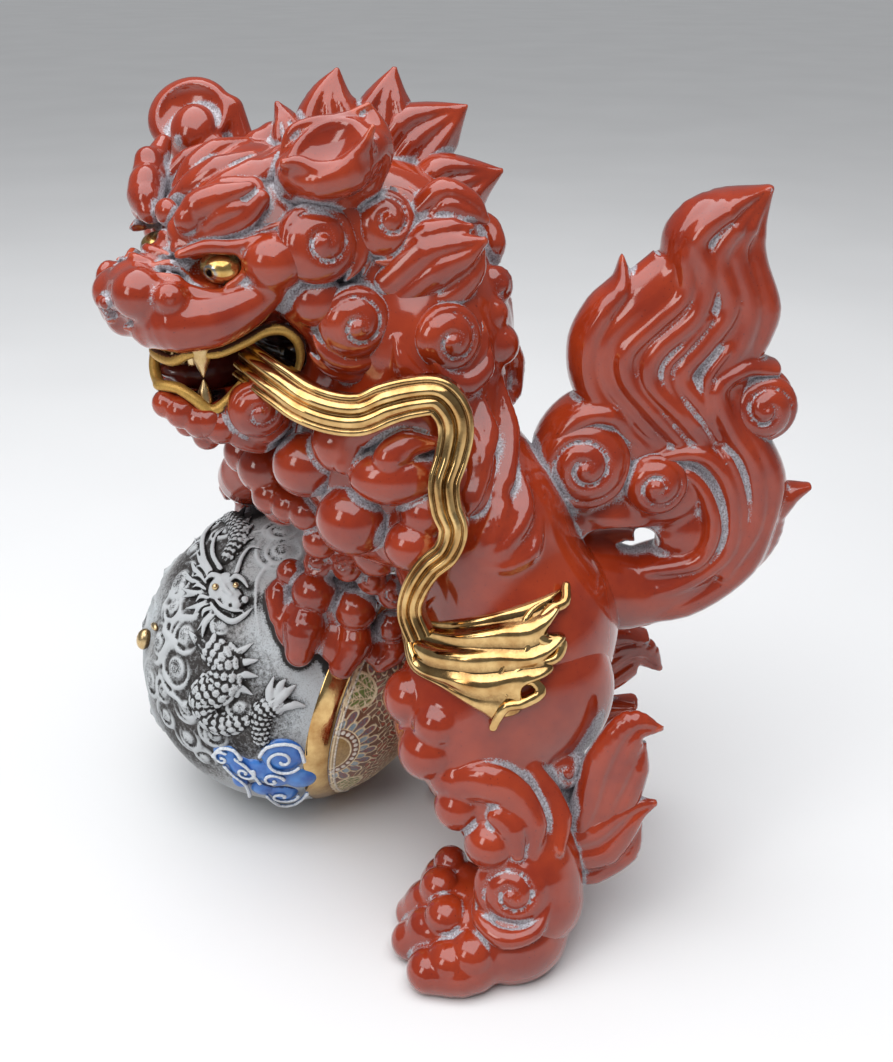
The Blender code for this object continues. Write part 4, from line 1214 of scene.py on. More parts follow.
def gold_band():
    """The gold ring round the ball: a shallow rounded strip."""
    across = np.linspace(-1, 1, 15)
    turns = np.linspace(0, 2 * math.pi, 240, endpoint=False)
    middle = PANEL_START - BAND_WIDTH / 2
    vertices = []
    for place in across:
        distance = middle + place * (BAND_WIDTH / 2 + 0.3)
        rise = 1.3 * (1 - abs(place) ** 5) - 0.4
        radius = BALL_RADIUS + rise
        ring = math.sqrt(radius * radius - distance * distance)
        vertices.append([BALL_CENTRE + BALL_AXIS * distance
                         + (BALL_UP * math.cos(turn) + BALL_SIDE * math.sin(turn)) * ring for turn in turns])
    vertices = np.array(vertices).reshape(-1, 3)
    vertices[:, 2] = np.maximum(vertices[:, 2], 0.1)
    return make_mesh("gold_band", vertices, grid_faces(len(across), len(turns), True),
                     {"wash": np.zeros(len(vertices))})


MEDALLION_TURN = math.atan2(*[ball_way((15, -55, 64)) @ row for row in (BALL_SIDE, BALL_UP)])
MEDALLION_STEP = math.radians(72)
PETALS = 9
BEADS = 13
PANEL_POLE = 0.02
PANEL_RINGS = 210
PANEL_SPOKES = 900


def brocade_panel():
    """The painted cap of the ball: its pattern's masks are worked out for each vertex."""
    start = math.acos(PANEL_START / BALL_RADIUS)
    slants = np.linspace(start, PANEL_POLE, PANEL_RINGS)
    turns = np.linspace(0, 2 * math.pi, PANEL_SPOKES, endpoint=False)
    slant, turn = np.meshgrid(slants, turns, indexing="ij")
    across = np.cos(turn)[..., None] * BALL_UP + np.sin(turn)[..., None] * BALL_SIDE
    ways = np.cos(slant)[..., None] * BALL_AXIS + np.sin(slant)[..., None] * across
    wrapped = (turn - MEDALLION_TURN + MEDALLION_STEP / 2) % MEDALLION_STEP - MEDALLION_STEP / 2
    seat = math.sin(start)
    u = wrapped * BALL_RADIUS * (0.35 * seat + 0.65 * np.sin(slant))
    v = (start - slant) * BALL_RADIUS
    reach = np.hypot(u, v)
    angle = np.arctan2(u, v)

    def band(value, middle, half, soft=0.25):
        return np.clip((half - np.abs(value - middle)) / soft + 0.5, 0, 1)

    petals = (angle / math.pi * PETALS + 0.5) % 1 - 0.5
    far_petals = (angle / math.pi * PETALS) % 1 - 0.5
    bead_turn = (angle / math.pi * BEADS + 0.5) % 1 - 0.5
    beads = np.hypot(bead_turn * reach * math.pi / BEADS * 0.9, (reach - 14.4) * 0.9)
    gold = band(reach, 11.6, 0.45) + band(reach, 16.6, 0.35) + band(v, 1.2, 0.5)
    petal_edge = np.hypot(petals * reach * math.pi / PETALS / 2.0, np.maximum(reach - 19.4, 0) / 2.6)
    outer_edge = np.hypot(far_petals * reach * math.pi / PETALS / 2.5, np.maximum(reach - 24.5, 0) / 3.4)
    in_petal = (reach > 16.6) & (petal_edge < 1)
    in_outer = (reach > 16.6) & (outer_edge < 1) & ~in_petal
    gold += band(petal_edge, 1.0, 0.22, 0.12) * (reach > 16.6)
    gold += band(outer_edge, 1.0, 0.18, 0.1) * (reach > 17) * ~in_petal
    wave_u = np.sin(turn * 34 + 1.5 * np.sin(slant * 40))
    wave_v = np.sin(slant * 70 + 1.5 * np.sin(turn * 21))
    outside = (reach > 28) & ~in_outer
    gold += band(wave_u * wave_v, 0.0, 0.13, 0.08) * outside
    leaf_spot = np.hypot((np.abs(u) - 33) / 5.5, (v - 9) / 8)
    leaf = (leaf_spot < 1) & outside
    gold += band(leaf_spot, 1.0, 0.12, 0.08) + band(np.abs(u) - 33, 0, 0.35) * leaf
    gold += band((v + np.abs(np.abs(u) - 33) * 1.2) % 3.2, 1.6, 0.3) * leaf
    flower = (wave_u * wave_v > 0.62) & outside & ~leaf
    gold = np.clip(gold, 0, 1)
    bead = np.clip((1.25 - beads) / 0.25, 0, 1) + np.clip((0.8 - np.hypot((turn * 60) % 1.0 * 1.6 - 0.8,
                                                                     v - 2.9)) / 0.3, 0, 1) * (v < 4.2)
    bead = np.clip(bead, 0, 1)
    lift = 0.45 + 0.30 * gold + 0.45 * bead + 0.25 * in_petal
    vertices = BALL_CENTRE + ways * (BALL_RADIUS + lift)[..., None]
    vertices = vertices.reshape(-1, 3)
    vertices[:, 2] = np.maximum(vertices[:, 2], 0.1)
    masks = {
        "gold": gold, "bead": bead, "petal": in_petal * (1 - gold), "outer": in_outer * (1 - gold),
        "leaf": leaf * (1 - gold), "flower": flower * (1 - gold), "disc": (reach < 11.6) * (1 - gold),
    }
    return make_mesh("brocade_cap", vertices, grid_faces(len(slants), len(turns), True)[:, ::-1],
                     {key: value.ravel() for key, value in masks.items()})


# ------------------------------------------------------------------ mouth, teeth and eyes



UPPER_LIP = [(12, 49, -39), (19, 44, -35), (26, 35, -35), (31, 24, -31), (35, 16, -27), (39, 9, -27),
             (41, 4, -32), (40, 2, -40), (38, 3, -47)]
LOWER_LIP = [(6, 53, -51), (14, 49, -51), (20, 45, -55), (24, 39, -61), (27, 32, -57), (30, 25, -49),
             (32, 17, -45)]
LIP_FAR_UPPER = [(0, 50, -39), (-8, 47, -38), (-18, 38, -36), (-27, 24, -32), (-32, 8, -30)]
LIP_FAR_LOWER = [(0, 51, -51), (-6, 49, -47), (-11, 45, -41), (-19, 36, -38), (-28, 20, -36)]
MOUTH_STATIONS = [((38, 9, -36), 5.0), ((33, 17, -37), 7.2), ((28, 28, -42), 9.5), ((20, 39, -48), 10.0),
                  ((13, 47, -45), 5.5), ((6, 51, -46), 4.2), ((0, 49, -45), 4.0), ((-9, 43, -43), 5.0),
                  ((-19, 32, -42), 7.0), ((-28, 14, -40), 7.0)]


def both_sides(near, far):
    """A path that runs from the left mouth corner round the front to the right one."""
    return [hd(*point) for point in near[::-1] + far]


def mouth_gap():
    """The strokes that cut the open mouth out of the head and the lower jaw."""
    path = [hd(*place) for place, radius in MOUTH_STATIONS]
    sizes = [radius for place, radius in MOUTH_STATIONS]
    return [tube(path, sizes, 1.0, carve=True, steps=3),
            egg(hd(2, 20, -43), (25, 24, 9), HEAD_ROWS, 1.5, carve=True),
            egg(hd(4, -6, -42), (33, 14, 15), HEAD_ROWS, 1.0)]


def lip(name, path, middle, end):
    sizes = [end] + [middle] * 5 + [end]
    return Clay(name, [tube(path, sizes, 0.5)], 0.7)


def upper_lip():
    return lip("upper_lip_roll", both_sides(UPPER_LIP, LIP_FAR_UPPER), 2.5, 1.5)


def lower_lip():
    return lip("lower_lip_roll", both_sides(LOWER_LIP, LIP_FAR_LOWER), 2.6, 1.5)


def tongue():
    strokes = [tube([hd(2, 6, -50), hd(2, 26, -51), hd(3, 40, -50)], [8, 9, 5], 2),
               egg(hd(-2, 41, -48), (9, 7, 4), HEAD_ROWS, 2)]
    return Clay("tongue_form", strokes, 1.0)


FANG_ROOT_SUNK = 2.5
FAR_FANG_SHIFT = (4.0, -8.0)


def fang(side, upper):
    """A fang along the upright middle line of its CAD part, its root sunk in the gum."""
    word = "left" if side > 0 else "right"
    level = "upper" if upper else "lower"
    node = level + "_fang_" + word
    centre = middle(node) if side > 0 else middle(node, *FAR_FANG_SHIFT)
    rise = np.array([0.0, 0.0, half_height(node)])
    sunk = np.array([0.0, 0.0, 0.0 if upper else FANG_ROOT_SUNK])
    towards_root = 1 if upper else -1
    root = centre + rise * towards_root - sunk
    tip = centre - rise * towards_root
    sizes = [5.0, 3.8, 0.6] if upper else [3.8, 2.6, 0.5]
    return Clay("fang_%s_%s" % (level, word), [tube([root, (root + tip) / 2, tip], sizes, 0.5)], 0.5)


def front_teeth():
    strokes = []
    for place in (-14, -9, -3, 3, 9, 14):
        root = hd(place, 46 - abs(place) * 0.35, -37)
        strokes.append(tube([root, root - np.array([0, 0, 4.0])], [2.6, 2.0], 0.3))
    return Clay("teeth_row", strokes, 0.6)


def ball_of(name, centre, radii, rows, extra=None, rings=48, columns=72):
    """A smooth ellipsoid mesh with its axes along the rows."""
    slant, turn = np.meshgrid(np.linspace(0.03, math.pi - 0.03, rings),
                              np.linspace(0, 2 * math.pi, columns, endpoint=False), indexing="ij")
    shape = np.stack([np.sin(slant) * np.cos(turn), np.sin(slant) * np.sin(turn), np.cos(slant)], -1)
    local = shape.reshape(-1, 3) * np.array(radii)
    vertices = np.asarray(centre, float) + local @ rows
    faces = grid_faces(rings, columns, True)[:, ::-1]
    return make_mesh(name, vertices, faces, extra(local) if extra else {"wash": np.zeros(len(vertices))})


def eye(side):
    """A gilt eyeball whose dark pupil looks forward and outwards."""
    aim = unit(np.array([side * 0.42, 0.90, -0.10]))

    def masks(local):
        direction = local / np.linalg.norm(local, axis=1)[:, None]
        off = np.arccos(np.clip(direction @ aim, -1, 1)) * 8.0
        return {"pupil": np.clip((1.9 - off) / 0.4, 0, 1),
                "ring": np.clip((0.7 - np.abs(off - 2.7)) / 0.3, 0, 1),
                # darker grey towards the top and bottom of the eyeball
                "wash": np.clip(np.abs(local[:, 2]) / 5 - 0.8, 0, 1)}

    name = "eye_ball_left" if side > 0 else "eye_ball_right"
    node, inward = ("eye_left", -2.0) if side > 0 else ("eye_right", 5.5)
    return ball_of(name, middle(node, inward), (9.5, 8.5, 7.0), HEAD_ROWS, masks)


# ------------------------------------------------------------------ the gold ribbon

FLUTES = 3


def flute(place):
    """Height of the ribbon's ridges across its width; place runs from -1 to 1."""
    ridge = np.abs(np.cos(math.pi * (place + 1) / 2 * FLUTES))
    return ridge ** 0.8


def strip(name, middle, across, out, width, thick, depth):
    """A fluted strip: per station a middle, two directions, a half width and heights."""
    places = np.concatenate([[-1.0, -1.0], np.linspace(-1, 1, 49), [1.0, 1.0]])
    sink = np.concatenate([[1.0, 0.45], np.zeros(49), [0.45, 1.0]])
    crown = np.sqrt(np.clip(1 - places ** 2 * 0.92, 0, 1))
    height = (0.35 + 0.65 * crown)[None, :] * thick[:, None] + flute(places)[None, :] * depth[:, None] * crown
    height = height * (1 - sink) - sink * 5.0
    vertices = (middle[:, None] + across[:, None] * (places[None, :, None] * width[:, None, None])
                + out[:, None] * height[:, :, None])
    # the flute valleys, which the gilt darkens as painted shade
    valley = (1 - flute(places))[None, :] * np.ones(len(middle))[:, None]
    faces = grid_faces(len(middle), len(places))
    return make_mesh(name, vertices.reshape(-1, 3), faces, {"wash": valley.ravel()})


def ribbon_stream():
    points = [(34, -88, 283), (42, -80, 280), (49, -71, 276), (56, -60, 271), (60, -48, 268),
              (62, -36, 268), (63, -25, 273), (63, -14, 276), (62, -4, 276), (63, 2, 270), (64, 4, 261),
              (66, 2, 250), (69, -1, 240), (71, 0, 229), (72, 3, 219), (73, 0, 209), (73, -8, 201),
              (73, -14, 190), (73, -16, 179), (76, -12, 168)]
    path = curve(points, 12)
    count = len(path)
    ahead = np.gradient(path, axis=0)
    ahead /= np.linalg.norm(ahead, axis=1)[:, None]
    facing = np.array([curve_value for curve_value in np.stack(
        [along([0.75, 0.85, 0.95, 0.95, 0.92, 0.92, 0.95], count),
         along([-0.45, -0.4, -0.15, 0.0, -0.05, -0.2, -0.3], count),
         along([0.35, 0.3, 0.1, 0.1, 0.1, 0.15, 0.25], count)], 1)])
    out = facing - ahead * np.einsum("ij,ij->i", facing, ahead)[:, None]
    out /= np.linalg.norm(out, axis=1)[:, None]
    across = np.cross(ahead, out)
    width = along([8.5, 9.0, 9.0, 9.0, 9.0, 8.6, 8.2, 7.6, 7.0, 6.8, 6.2, 6.0, 5.6, 6.0], count)
    return strip("ribbon_run", path, across, out, width, along([3.2, 3.0, 2.8], count),
                 along([2.4, 2.0], count))


def ribbon_end():
    """The ribbon's fan-shaped end: five flow lines, fluted between, with curled scallops."""
    lines = [
        [(61, -10, 176), (48, -10, 163), (62, 3, 170), (68, 21, 177), (66, 38, 182), (58, 52, 184)],
        [(30, -17, 158), (51, -12, 157), (68, 6, 163), (74, 23, 168), (75, 37, 170), (69, 48, 175)],
        [(21, -20, 150), (60, -12, 153), (75, 7, 156), (78, 24, 158), (79, 37, 159), (75, 50, 163)],
        [(51, -18, 161), (64, -13, 147), (78, 5, 147), (82, 18, 147), (82, 30, 150), (82, 40, 148)],
        [(51, -20, 159), (62, -16, 144), (77, -1, 141), (83, 10, 136), (85, 17, 132), (86, 22, 127)],
    ]
    rails = np.array([curve(line, 14) for line in lines])
    count = rails.shape[1]
    sheet = np.array([curve(rails[:, station], 20) for station in range(count)])
    columns = sheet.shape[1]
    place = np.linspace(-1, 1, columns)
    ahead = np.gradient(sheet, axis=0)
    across = np.gradient(sheet, axis=1)
    out = np.cross(across, ahead)
    out /= np.linalg.norm(out, axis=2)[..., None]
    out *= np.sign(out[..., 0:1])
    forward = ahead / np.linalg.norm(ahead, axis=2)[..., None]
    travel = np.linspace(0, 1, count)[:, None]
    waves = np.cos(math.pi * (place + 1) / 2 * 4 * 2)[None, :]
    fold = np.cos(math.pi * (place + 1) / 2 * 9 + 0.6)[None, :]
    swell = 1.4 + 1.6 * travel
    ridge = swell * (0.5 + 0.5 * waves) ** 0.7 + 0.8 * travel * (0.5 + 0.5 * fold)
    lip_rise = 3.0 * np.clip((travel - 0.86) / 0.14, 0, 1) ** 1.5 * (0.6 + 0.4 * fold)
    scallop = 4.0 * np.clip((travel - 0.7) / 0.3, 0, 1) ** 2 * np.cos(math.pi * (place + 1) / 2 * 9)[None, :]
    edge = np.sqrt(np.clip(1 - np.abs(place) ** 8, 0, 1))[None, :]
    tail_off = np.sqrt(np.clip(1 - travel ** 30, 0, 1))
    height = (2.2 + ridge + lip_rise) * edge * tail_off - 3.5 * (1 - edge * tail_off)
    vertices = sheet + out * height[..., None] + forward * scallop[..., None]
    faces = grid_faces(count, columns)
    # the valleys between the ridges, which the gilt darkens as painted shade
    wash = np.clip(1 - ridge / swell, 0, 1) * np.ones_like(place)[None, :]
    return make_mesh("ribbon_fan", vertices.reshape(-1, 3), faces, {"wash": wash.ravel()})


def ribbon_hem():
    """The folded, scalloped lip along the end of the fan."""
    edge = [(59, 54, 185), (65, 53, 180), (69, 46, 178), (74, 41, 173), (77, 43, 167), (75, 51, 165),
            (78, 49, 159), (80, 41, 157), (81, 33, 155), (84, 30, 150), (83, 38, 150), (85, 42, 145),
            (86, 34, 140), (87, 27, 139), (87, 23, 133), (87, 21, 128)]
    inner = [(65, 47, 182), (71, 38, 179), (75, 34, 172), (79, 36, 164), (80, 31, 160), (81, 26, 157),
             (83, 24, 151), (86, 27, 144)]
    return Clay("ribbon_hem_roll", [tube(edge, [2.2, 2.6, 2.4, 2.8, 2.4, 2.6, 2.4, 2.8, 2.4, 2.2], 0.6),
                                    tube(inner, [1.0, 1.8, 2.0, 1.8, 1.0], 0.8)], 0.7)


# ------------------------------------------------------------------ materials

class Paint:
    """A Principled shader and short ways to build what feeds it."""

    def __init__(self, name, **sockets):
        self.material = bpy.data.materials.new(name)
        self.material.use_nodes = True
        self.nodes = self.material.node_tree.nodes
        self.links = self.material.node_tree.links
        self.shader = self.nodes["Principled BSDF"]
        self.place = self.nodes.new("ShaderNodeTexCoord").outputs["Object"]
        for key, value in sockets.items():
            self.shader.inputs[key.replace("_", " ")].default_value = value

    def feed(self, socket, source):
        self.links.new(source, self.shader.inputs[socket])

    def noise(self, scale, detail=2.0, rough=0.5, spread=0.0):
        node = self.nodes.new("ShaderNodeTexNoise")
        node.inputs["Scale"].default_value = scale
        node.inputs["Detail"].default_value = detail
        node.inputs["Roughness"].default_value = rough
        node.inputs["Distortion"].default_value = spread
        self.links.new(self.place, node.inputs["Vector"])
        return node.outputs["Fac"]

    def mask(self, name):
        node = self.nodes.new("ShaderNodeAttribute")
        node.attribute_name = name
        return node.outputs["Fac"]

    def span(self, source, low, high, out_low=0.0, out_high=1.0):
        node = self.nodes.new("ShaderNodeMapRange")
        for key, value in (("From Min", low), ("From Max", high), ("To Min", out_low), ("To Max", out_high)):
            node.inputs[key].default_value = value
        self.links.new(source, node.inputs["Value"])
        return node.outputs["Result"]

    def math(self, operation, a, b):
        node = self.nodes.new("ShaderNodeMath")
        node.operation = operation
        for socket, value in zip(node.inputs, (a, b)):
            if isinstance(value, (int, float)):
                socket.default_value = value
            else:
                self.links.new(value, socket)
        return node.outputs["Value"]

    def mix(self, factor, a, b):
        node = self.nodes.new("ShaderNodeMix")
        node.data_type = "RGBA"
        for socket, value in ((node.inputs[0], factor), (node.inputs[6], a), (node.inputs[7], b)):
            if isinstance(value, tuple):
                socket.default_value = value + (1.0,)
            else:
                self.links.new(value, socket)
        return node.outputs[2]

    def bump(self, source, distance, strength=1.0, socket="Normal"):
        node = self.nodes.new("ShaderNodeBump")
        node.inputs["Strength"].default_value = strength
        node.inputs["Distance"].default_value = distance
        self.links.new(source, node.inputs["Height"])
        self.links.new(node.outputs["Normal"], self.shader.inputs[socket])


def slip_and_shade_in_hollows(paint, low, high, grain, amount=0.45):
    """A hollow mask broken up by fine grains: the red glaze puts its pale slip in it; the bisque puts dark
    outline colour and painted shade in it; the gilt, the enamels and the slip lines put painted shade in it;
    the eyeball greys towards its top and bottom.
    """
    speckle = paint.span(paint.noise(grain, 3.0, 0.7), 0.3, 0.7, -amount, amount)
    return paint.span(paint.math("ADD", paint.mask("wash"), speckle), low, high)


def red_glaze():
    paint = Paint("red_glaze", Roughness=0.16, Coat_Weight=0.6, Coat_Roughness=0.05, Specular_IOR_Level=0.5)
    cloudy = paint.span(paint.noise(34, 3.0, 0.6), 0.35, 0.68)
    base = paint.mix(cloudy, (0.23, 0.021, 0.006), (0.34, 0.038, 0.009))
    thin = paint.span(paint.mask("edge"), 0.45, 1.0)
    base = paint.mix(thin, base, (0.40, 0.058, 0.018))
    specks = paint.span(paint.noise(900, 2.0, 0.6), 0.66, 0.74)
    base = paint.mix(specks, base, (0.13, 0.014, 0.008))
    wash = slip_and_shade_in_hollows(paint, 0.62, 1.0, 1500, 0.35)
    slip = paint.mix(paint.span(paint.noise(1100, 2.0), 0.35, 0.65), (0.20, 0.16, 0.17), (0.50, 0.49, 0.53))
    colour = paint.mix(wash, base, slip)
    # painted shade: the carved inside of the open mouth is painted near black
    colour = paint.mix(paint.mask("mouth"), colour, (0.004, 0.003, 0.004))
    paint.feed("Base Color", colour)
    paint.feed("Roughness", paint.span(wash, 0, 1, 0.13, 0.6))
    paint.bump(paint.noise(60, 2.0), 0.0012, 0.10)
    return paint.material


def bisque_white():
    paint = Paint("bisque_white", Roughness=0.62, Specular_IOR_Level=0.35)
    cloudy = paint.span(paint.noise(22, 3.0, 0.6), 0.35, 0.65)
    ground = paint.mix(cloudy, (0.50, 0.54, 0.56), (0.34, 0.34, 0.34))
    grain = paint.span(paint.noise(1300, 2.0, 0.7), 0.52, 0.68)
    shaded = paint.math("MULTIPLY", grain, paint.span(paint.mask("smoke"), 0, 1, 0.35, 1.0))
    ground = paint.mix(shaded, ground, (0.10, 0.085, 0.075))
    smoke = paint.span(paint.math("ADD", paint.mask("smoke"),
                                  paint.span(paint.noise(500, 3.0, 0.7), 0.3, 0.7, -0.35, 0.35)),
                       0.35, 1.0)
    ground = paint.mix(smoke, ground, (0.035, 0.030, 0.028))
    ground = paint.mix(paint.span(paint.mask("raised"), 0.25, 0.75), ground, (0.50, 0.52, 0.53))
    # dark outline colour and painted shade, near black, in the hollows of the relief and between parts
    wash = slip_and_shade_in_hollows(paint, 0.22, 0.62, 1200, 0.3)
    paint.feed("Base Color", paint.mix(wash, ground, (0.022, 0.019, 0.018)))
    paint.bump(paint.noise(1100, 2.0, 0.7), 0.0003, 0.35)
    return paint.material


def gold(name, low, high, rough_low, rough_high, scratch):
    paint = Paint(name, Metallic=1.0)
    cloudy = paint.span(paint.noise(90, 3.0, 0.6), 0.3, 0.7)
    base = paint.mix(cloudy, low, high)
    # painted shade: the hollows and the flute valleys of the gilt are darkened to a dark brown
    hollow_shade = paint.span(slip_and_shade_in_hollows(paint, 0.35, 1.1, 900, 0.15), 0, 1, 0, 0.85)
    paint.feed("Base Color", paint.mix(hollow_shade, base, (0.10, 0.045, 0.018)))
    paint.feed("Roughness", paint.span(paint.noise(160, 3.0, 0.6), 0.3, 0.7, rough_low, rough_high))
    paint.bump(paint.noise(scratch, 2.0), 0.0006, 0.12)
    return paint.material


def lip_gold():
    paint = Paint("lip_gold", Metallic=0.55, Roughness=0.42)
    grain = paint.span(paint.noise(1400, 2.0, 0.7), 0.4, 0.7)
    base = paint.mix(grain, (0.60, 0.36, 0.085), (0.44, 0.25, 0.06))
    # painted shade: dark brown in the hollows and where the lip meets the head
    paint.feed("Base Color", paint.mix(slip_and_shade_in_hollows(paint, 0.7, 1.1, 1200), base, (0.10, 0.05, 0.03)))
    paint.bump(paint.noise(900, 2.0), 0.0002, 0.2)
    return paint.material


def blue_enamel():
    paint = Paint("blue_enamel", Roughness=0.30, Coat_Weight=0.5, Coat_Roughness=0.1)
    cloudy = paint.span(paint.noise(110, 3.0, 0.6), 0.3, 0.7)
    base = paint.mix(cloudy, (0.018, 0.10, 0.42), (0.06, 0.25, 0.66))
    # painted shade: dark blue in the hollows between the lobes and where they meet the ball
    paint.feed("Base Color", paint.mix(slip_and_shade_in_hollows(paint, 0.5, 1.1, 900), base, (0.01, 0.03, 0.12)))
    paint.bump(paint.noise(300, 2.0), 0.0005, 0.2)
    return paint.material


def brocade_enamel():
    paint = Paint("brocade_enamel", Roughness=0.34, Coat_Weight=0.3, Coat_Roughness=0.15)
    cloudy = paint.span(paint.noise(500, 3.0, 0.7), 0.35, 0.65)
    colour = paint.mix(cloudy, (0.125, 0.045, 0.022), (0.22, 0.085, 0.038))
    for key, low, high in (
        ("disc", (0.26, 0.15, 0.05), (0.40, 0.25, 0.09)),
        ("outer", (0.13, 0.18, 0.22), (0.28, 0.06, 0.035)),
        ("petal", (0.17, 0.25, 0.31), (0.40, 0.44, 0.45)),
        ("leaf", (0.10, 0.15, 0.03), (0.20, 0.24, 0.05)),
        ("flower", (0.30, 0.03, 0.015), (0.40, 0.10, 0.04)),
        ("gold", (0.66, 0.50, 0.28), (0.84, 0.72, 0.50)),
        ("bead", (0.62, 0.55, 0.46), (0.80, 0.74, 0.66)),
    ):
        colour = paint.mix(paint.mask(key), colour, paint.mix(cloudy, low, high))
    paint.feed("Base Color", colour)
    paint.feed("Metallic", paint.span(paint.mask("gold"), 0, 1, 0.0, 0.35))
    paint.bump(paint.noise(700, 2.0), 0.0002, 0.2)
    return paint.material


def tongue_glaze():
    paint = Paint("tongue_glaze", Roughness=0.25, Coat_Weight=0.4)
    cloudy = paint.span(paint.noise(160, 2.0), 0.3, 0.7)
    paint.feed("Base Color", paint.mix(cloudy, (0.085, 0.012, 0.010), (0.15, 0.022, 0.014)))
    paint.bump(paint.noise(400, 2.0), 0.0004, 0.2)
    return paint.material


def eye_gold():
    paint = Paint("eye_gold", Metallic=0.9, Roughness=0.2)
    cloudy = paint.span(paint.noise(300, 2.0), 0.3, 0.7)
    base = paint.mix(cloudy, (0.50, 0.29, 0.08), (0.74, 0.50, 0.18))
    # the eyeball turns grey towards its top and bottom
    base = paint.mix(slip_and_shade_in_hollows(paint, 0.3, 0.9, 1500), base, (0.16, 0.15, 0.15))
    base = paint.mix(paint.mask("ring"), base, (0.36, 0.37, 0.38))
    paint.feed("Base Color", paint.mix(paint.mask("pupil"), base, (0.006, 0.006, 0.008)))
    return paint.material


def white_slip():
    paint = Paint("white_slip", Roughness=0.4, Coat_Weight=0.3)
    grain = paint.span(paint.noise(900, 2.0), 0.35, 0.7)
    base = paint.mix(grain, (0.74, 0.77, 0.80), (0.52, 0.58, 0.64))
    # painted shade, tinted blue: the lines darken where they meet the cloud beneath
    paint.feed("Base Color", paint.mix(slip_and_shade_in_hollows(paint, 0.6, 1.1, 900), base, (0.10, 0.20, 0.40)))
    return paint.material


# ------------------------------------------------------------------ assembly

def finish_piece(piece, node, material):
    piece.data.materials.append(material)
    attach(piece, "root")
    if node:
        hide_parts(node)
    return piece


def near_field(points, centres, radius):
    closest = np.min([np.linalg.norm(points - np.asarray(centre, float), axis=1) for centre in centres],
                     axis=0)
    return np.clip(1 - closest / radius, 0, 1)


def edge_mask(clay, vertices, normals):
    """High where the form is sharply convex, where real glaze runs thin."""
    below = sample(clay.field, clay.low, clay.step, vertices - normals * 3.0)
    return np.clip(1.6 * (below + 3.0) / 3.0 - 0.15, 0, 1)


def cast(clay, rounds=2):
    """Turn a clay into a mesh object with its masks."""
    vertices, quads = surface_nets(clay.field)
    vertices = clay.low + clay.step * vertices
    vertices = relax(vertices, quads, rounds, 0.5)
    normals = vertex_normals(vertices, quads)
    # The hollow mask measures how enclosed each point is: the red glaze lays pale slip there, the other
    # finishes paint shade there.
    masks = {"wash": crevice(clay, vertices, normals), "edge": edge_mask(clay, vertices, normals)}
    # the grooves between the dragon's scales join the hollow mask, so they take dark outline colour and
    # painted shade
    for line_of in getattr(clay, "lines", []):
        masks["wash"] = masks["wash"] + 0.45 * np.clip(1.6 * line_of(vertices) - 0.6, 0, 1)
    # The mouth mask marks the carved inside of the mouth, which the red glaze paints near black as shade.
    if clay.name in ("head_form", "lower_jaw_form"):
        gap = np.min([stroke[2](vertices) for stroke in mouth_gap()[:2]], axis=0)
        gap = np.minimum(gap, egg(hd(0, 14, -43), (33, 26, 11), HEAD_ROWS)[2](vertices))
        gap = np.minimum(gap, mouth_gap()[2][2](vertices) - 0.2)
        masks["mouth"] = np.clip((1.1 - gap) / 0.7, 0, 1)
    if clay.name == "ball_body":
        spread = near_field(vertices, [(-40, -132, 149), (-13, -134, 133), (1, -133, 117), (15, -118, 102),
                                       (20, -111, 87), (-85, -126, 152), (5, -139, 96), (5, -139, 68)], 46.0)
        far_side = np.clip((-20 - vertices[:, 0] - 40) / 30, 0, 1)
        masks["smoke"] = np.clip(np.maximum(1.6 * spread, far_side), 0, 1)
        rise = np.linalg.norm(vertices - BALL_CENTRE, axis=1) - BALL_RADIUS
        masks["raised"] = np.clip(rise / 1.4, 0, 1)
    elif clay.name.startswith("dragon"):
        masks["smoke"] = np.zeros(len(vertices))
        masks["raised"] = np.ones(len(vertices))
    return make_mesh(clay.name, vertices, quads, masks)


RED = [
    ("trunk", trunk()), ("head", head()), ("lower_jaw", lower_jaw()), ("beard", beard()),
    ("brow_left", brow(1, "brow_left_form")), ("brow_right", brow(-1, "brow_right_form")),
    ("ear_left", near_ear()), ("ear_right", far_ear()),
    ("mane_lock_left", mane_lock(1, "mane_lock_left_form")),
    ("mane_lock_right", mane_lock(-1, "mane_lock_right_form")),
    ("chest_ruff", chest_ruff()), ("left_foreleg", left_foreleg()), ("right_foreleg", right_foreleg()),
    ("left_hind_leg", hind_leg(1, "left_hind_form")), ("right_hind_leg", hind_leg(-1, "right_hind_form")),
    ("left_hind_paw", left_hind_paw()), ("right_hind_paw", right_hind_paw()), ("tail", tail()),
]
RED += [("crest_flame_%d" % number, crest(number)) for number in range(1, 6)]
RED += [(name, mane_curl(name)) for name in CURLS]
RED += [(name, leg_flame(name)) for name in ("left_leg_flame_upper", "left_leg_flame_lower",
                                             "right_leg_flame_upper", "right_leg_flame_lower")]
RED += [(name, tail_curl(name)) for name in TAIL_CURLS]
WHITE = [("ball_shell", ball_shell()), ("dragon_head", dragon_head()), ("dragon_body", dragon_body()),
         ("dragon_claw", dragon_claw())]
BLUE = [("cloud_scroll_blue", blue_clouds())]
LIPS = [("upper_lip", upper_lip()), ("lower_lip", lower_lip())]
TONGUE = [("tongue", tongue())]
GILT = [("dragon_pearl", dragon_pearl()), ("upper_fang_left", fang(1, True)),
        ("upper_fang_right", fang(-1, True)),
        ("lower_fang_left", fang(1, False)), ("lower_fang_right", fang(-1, False)),
        ("front_teeth", front_teeth())]
LINES = [(None, cloud_lines())]
SPARKS = [(None, dragon_eyes())]

for node, clay in RED + WHITE + BLUE:
    if node in ("head", "lower_jaw"):
        for stroke in mouth_gap():
            clay.press(*stroke)
    fill_air(clay)

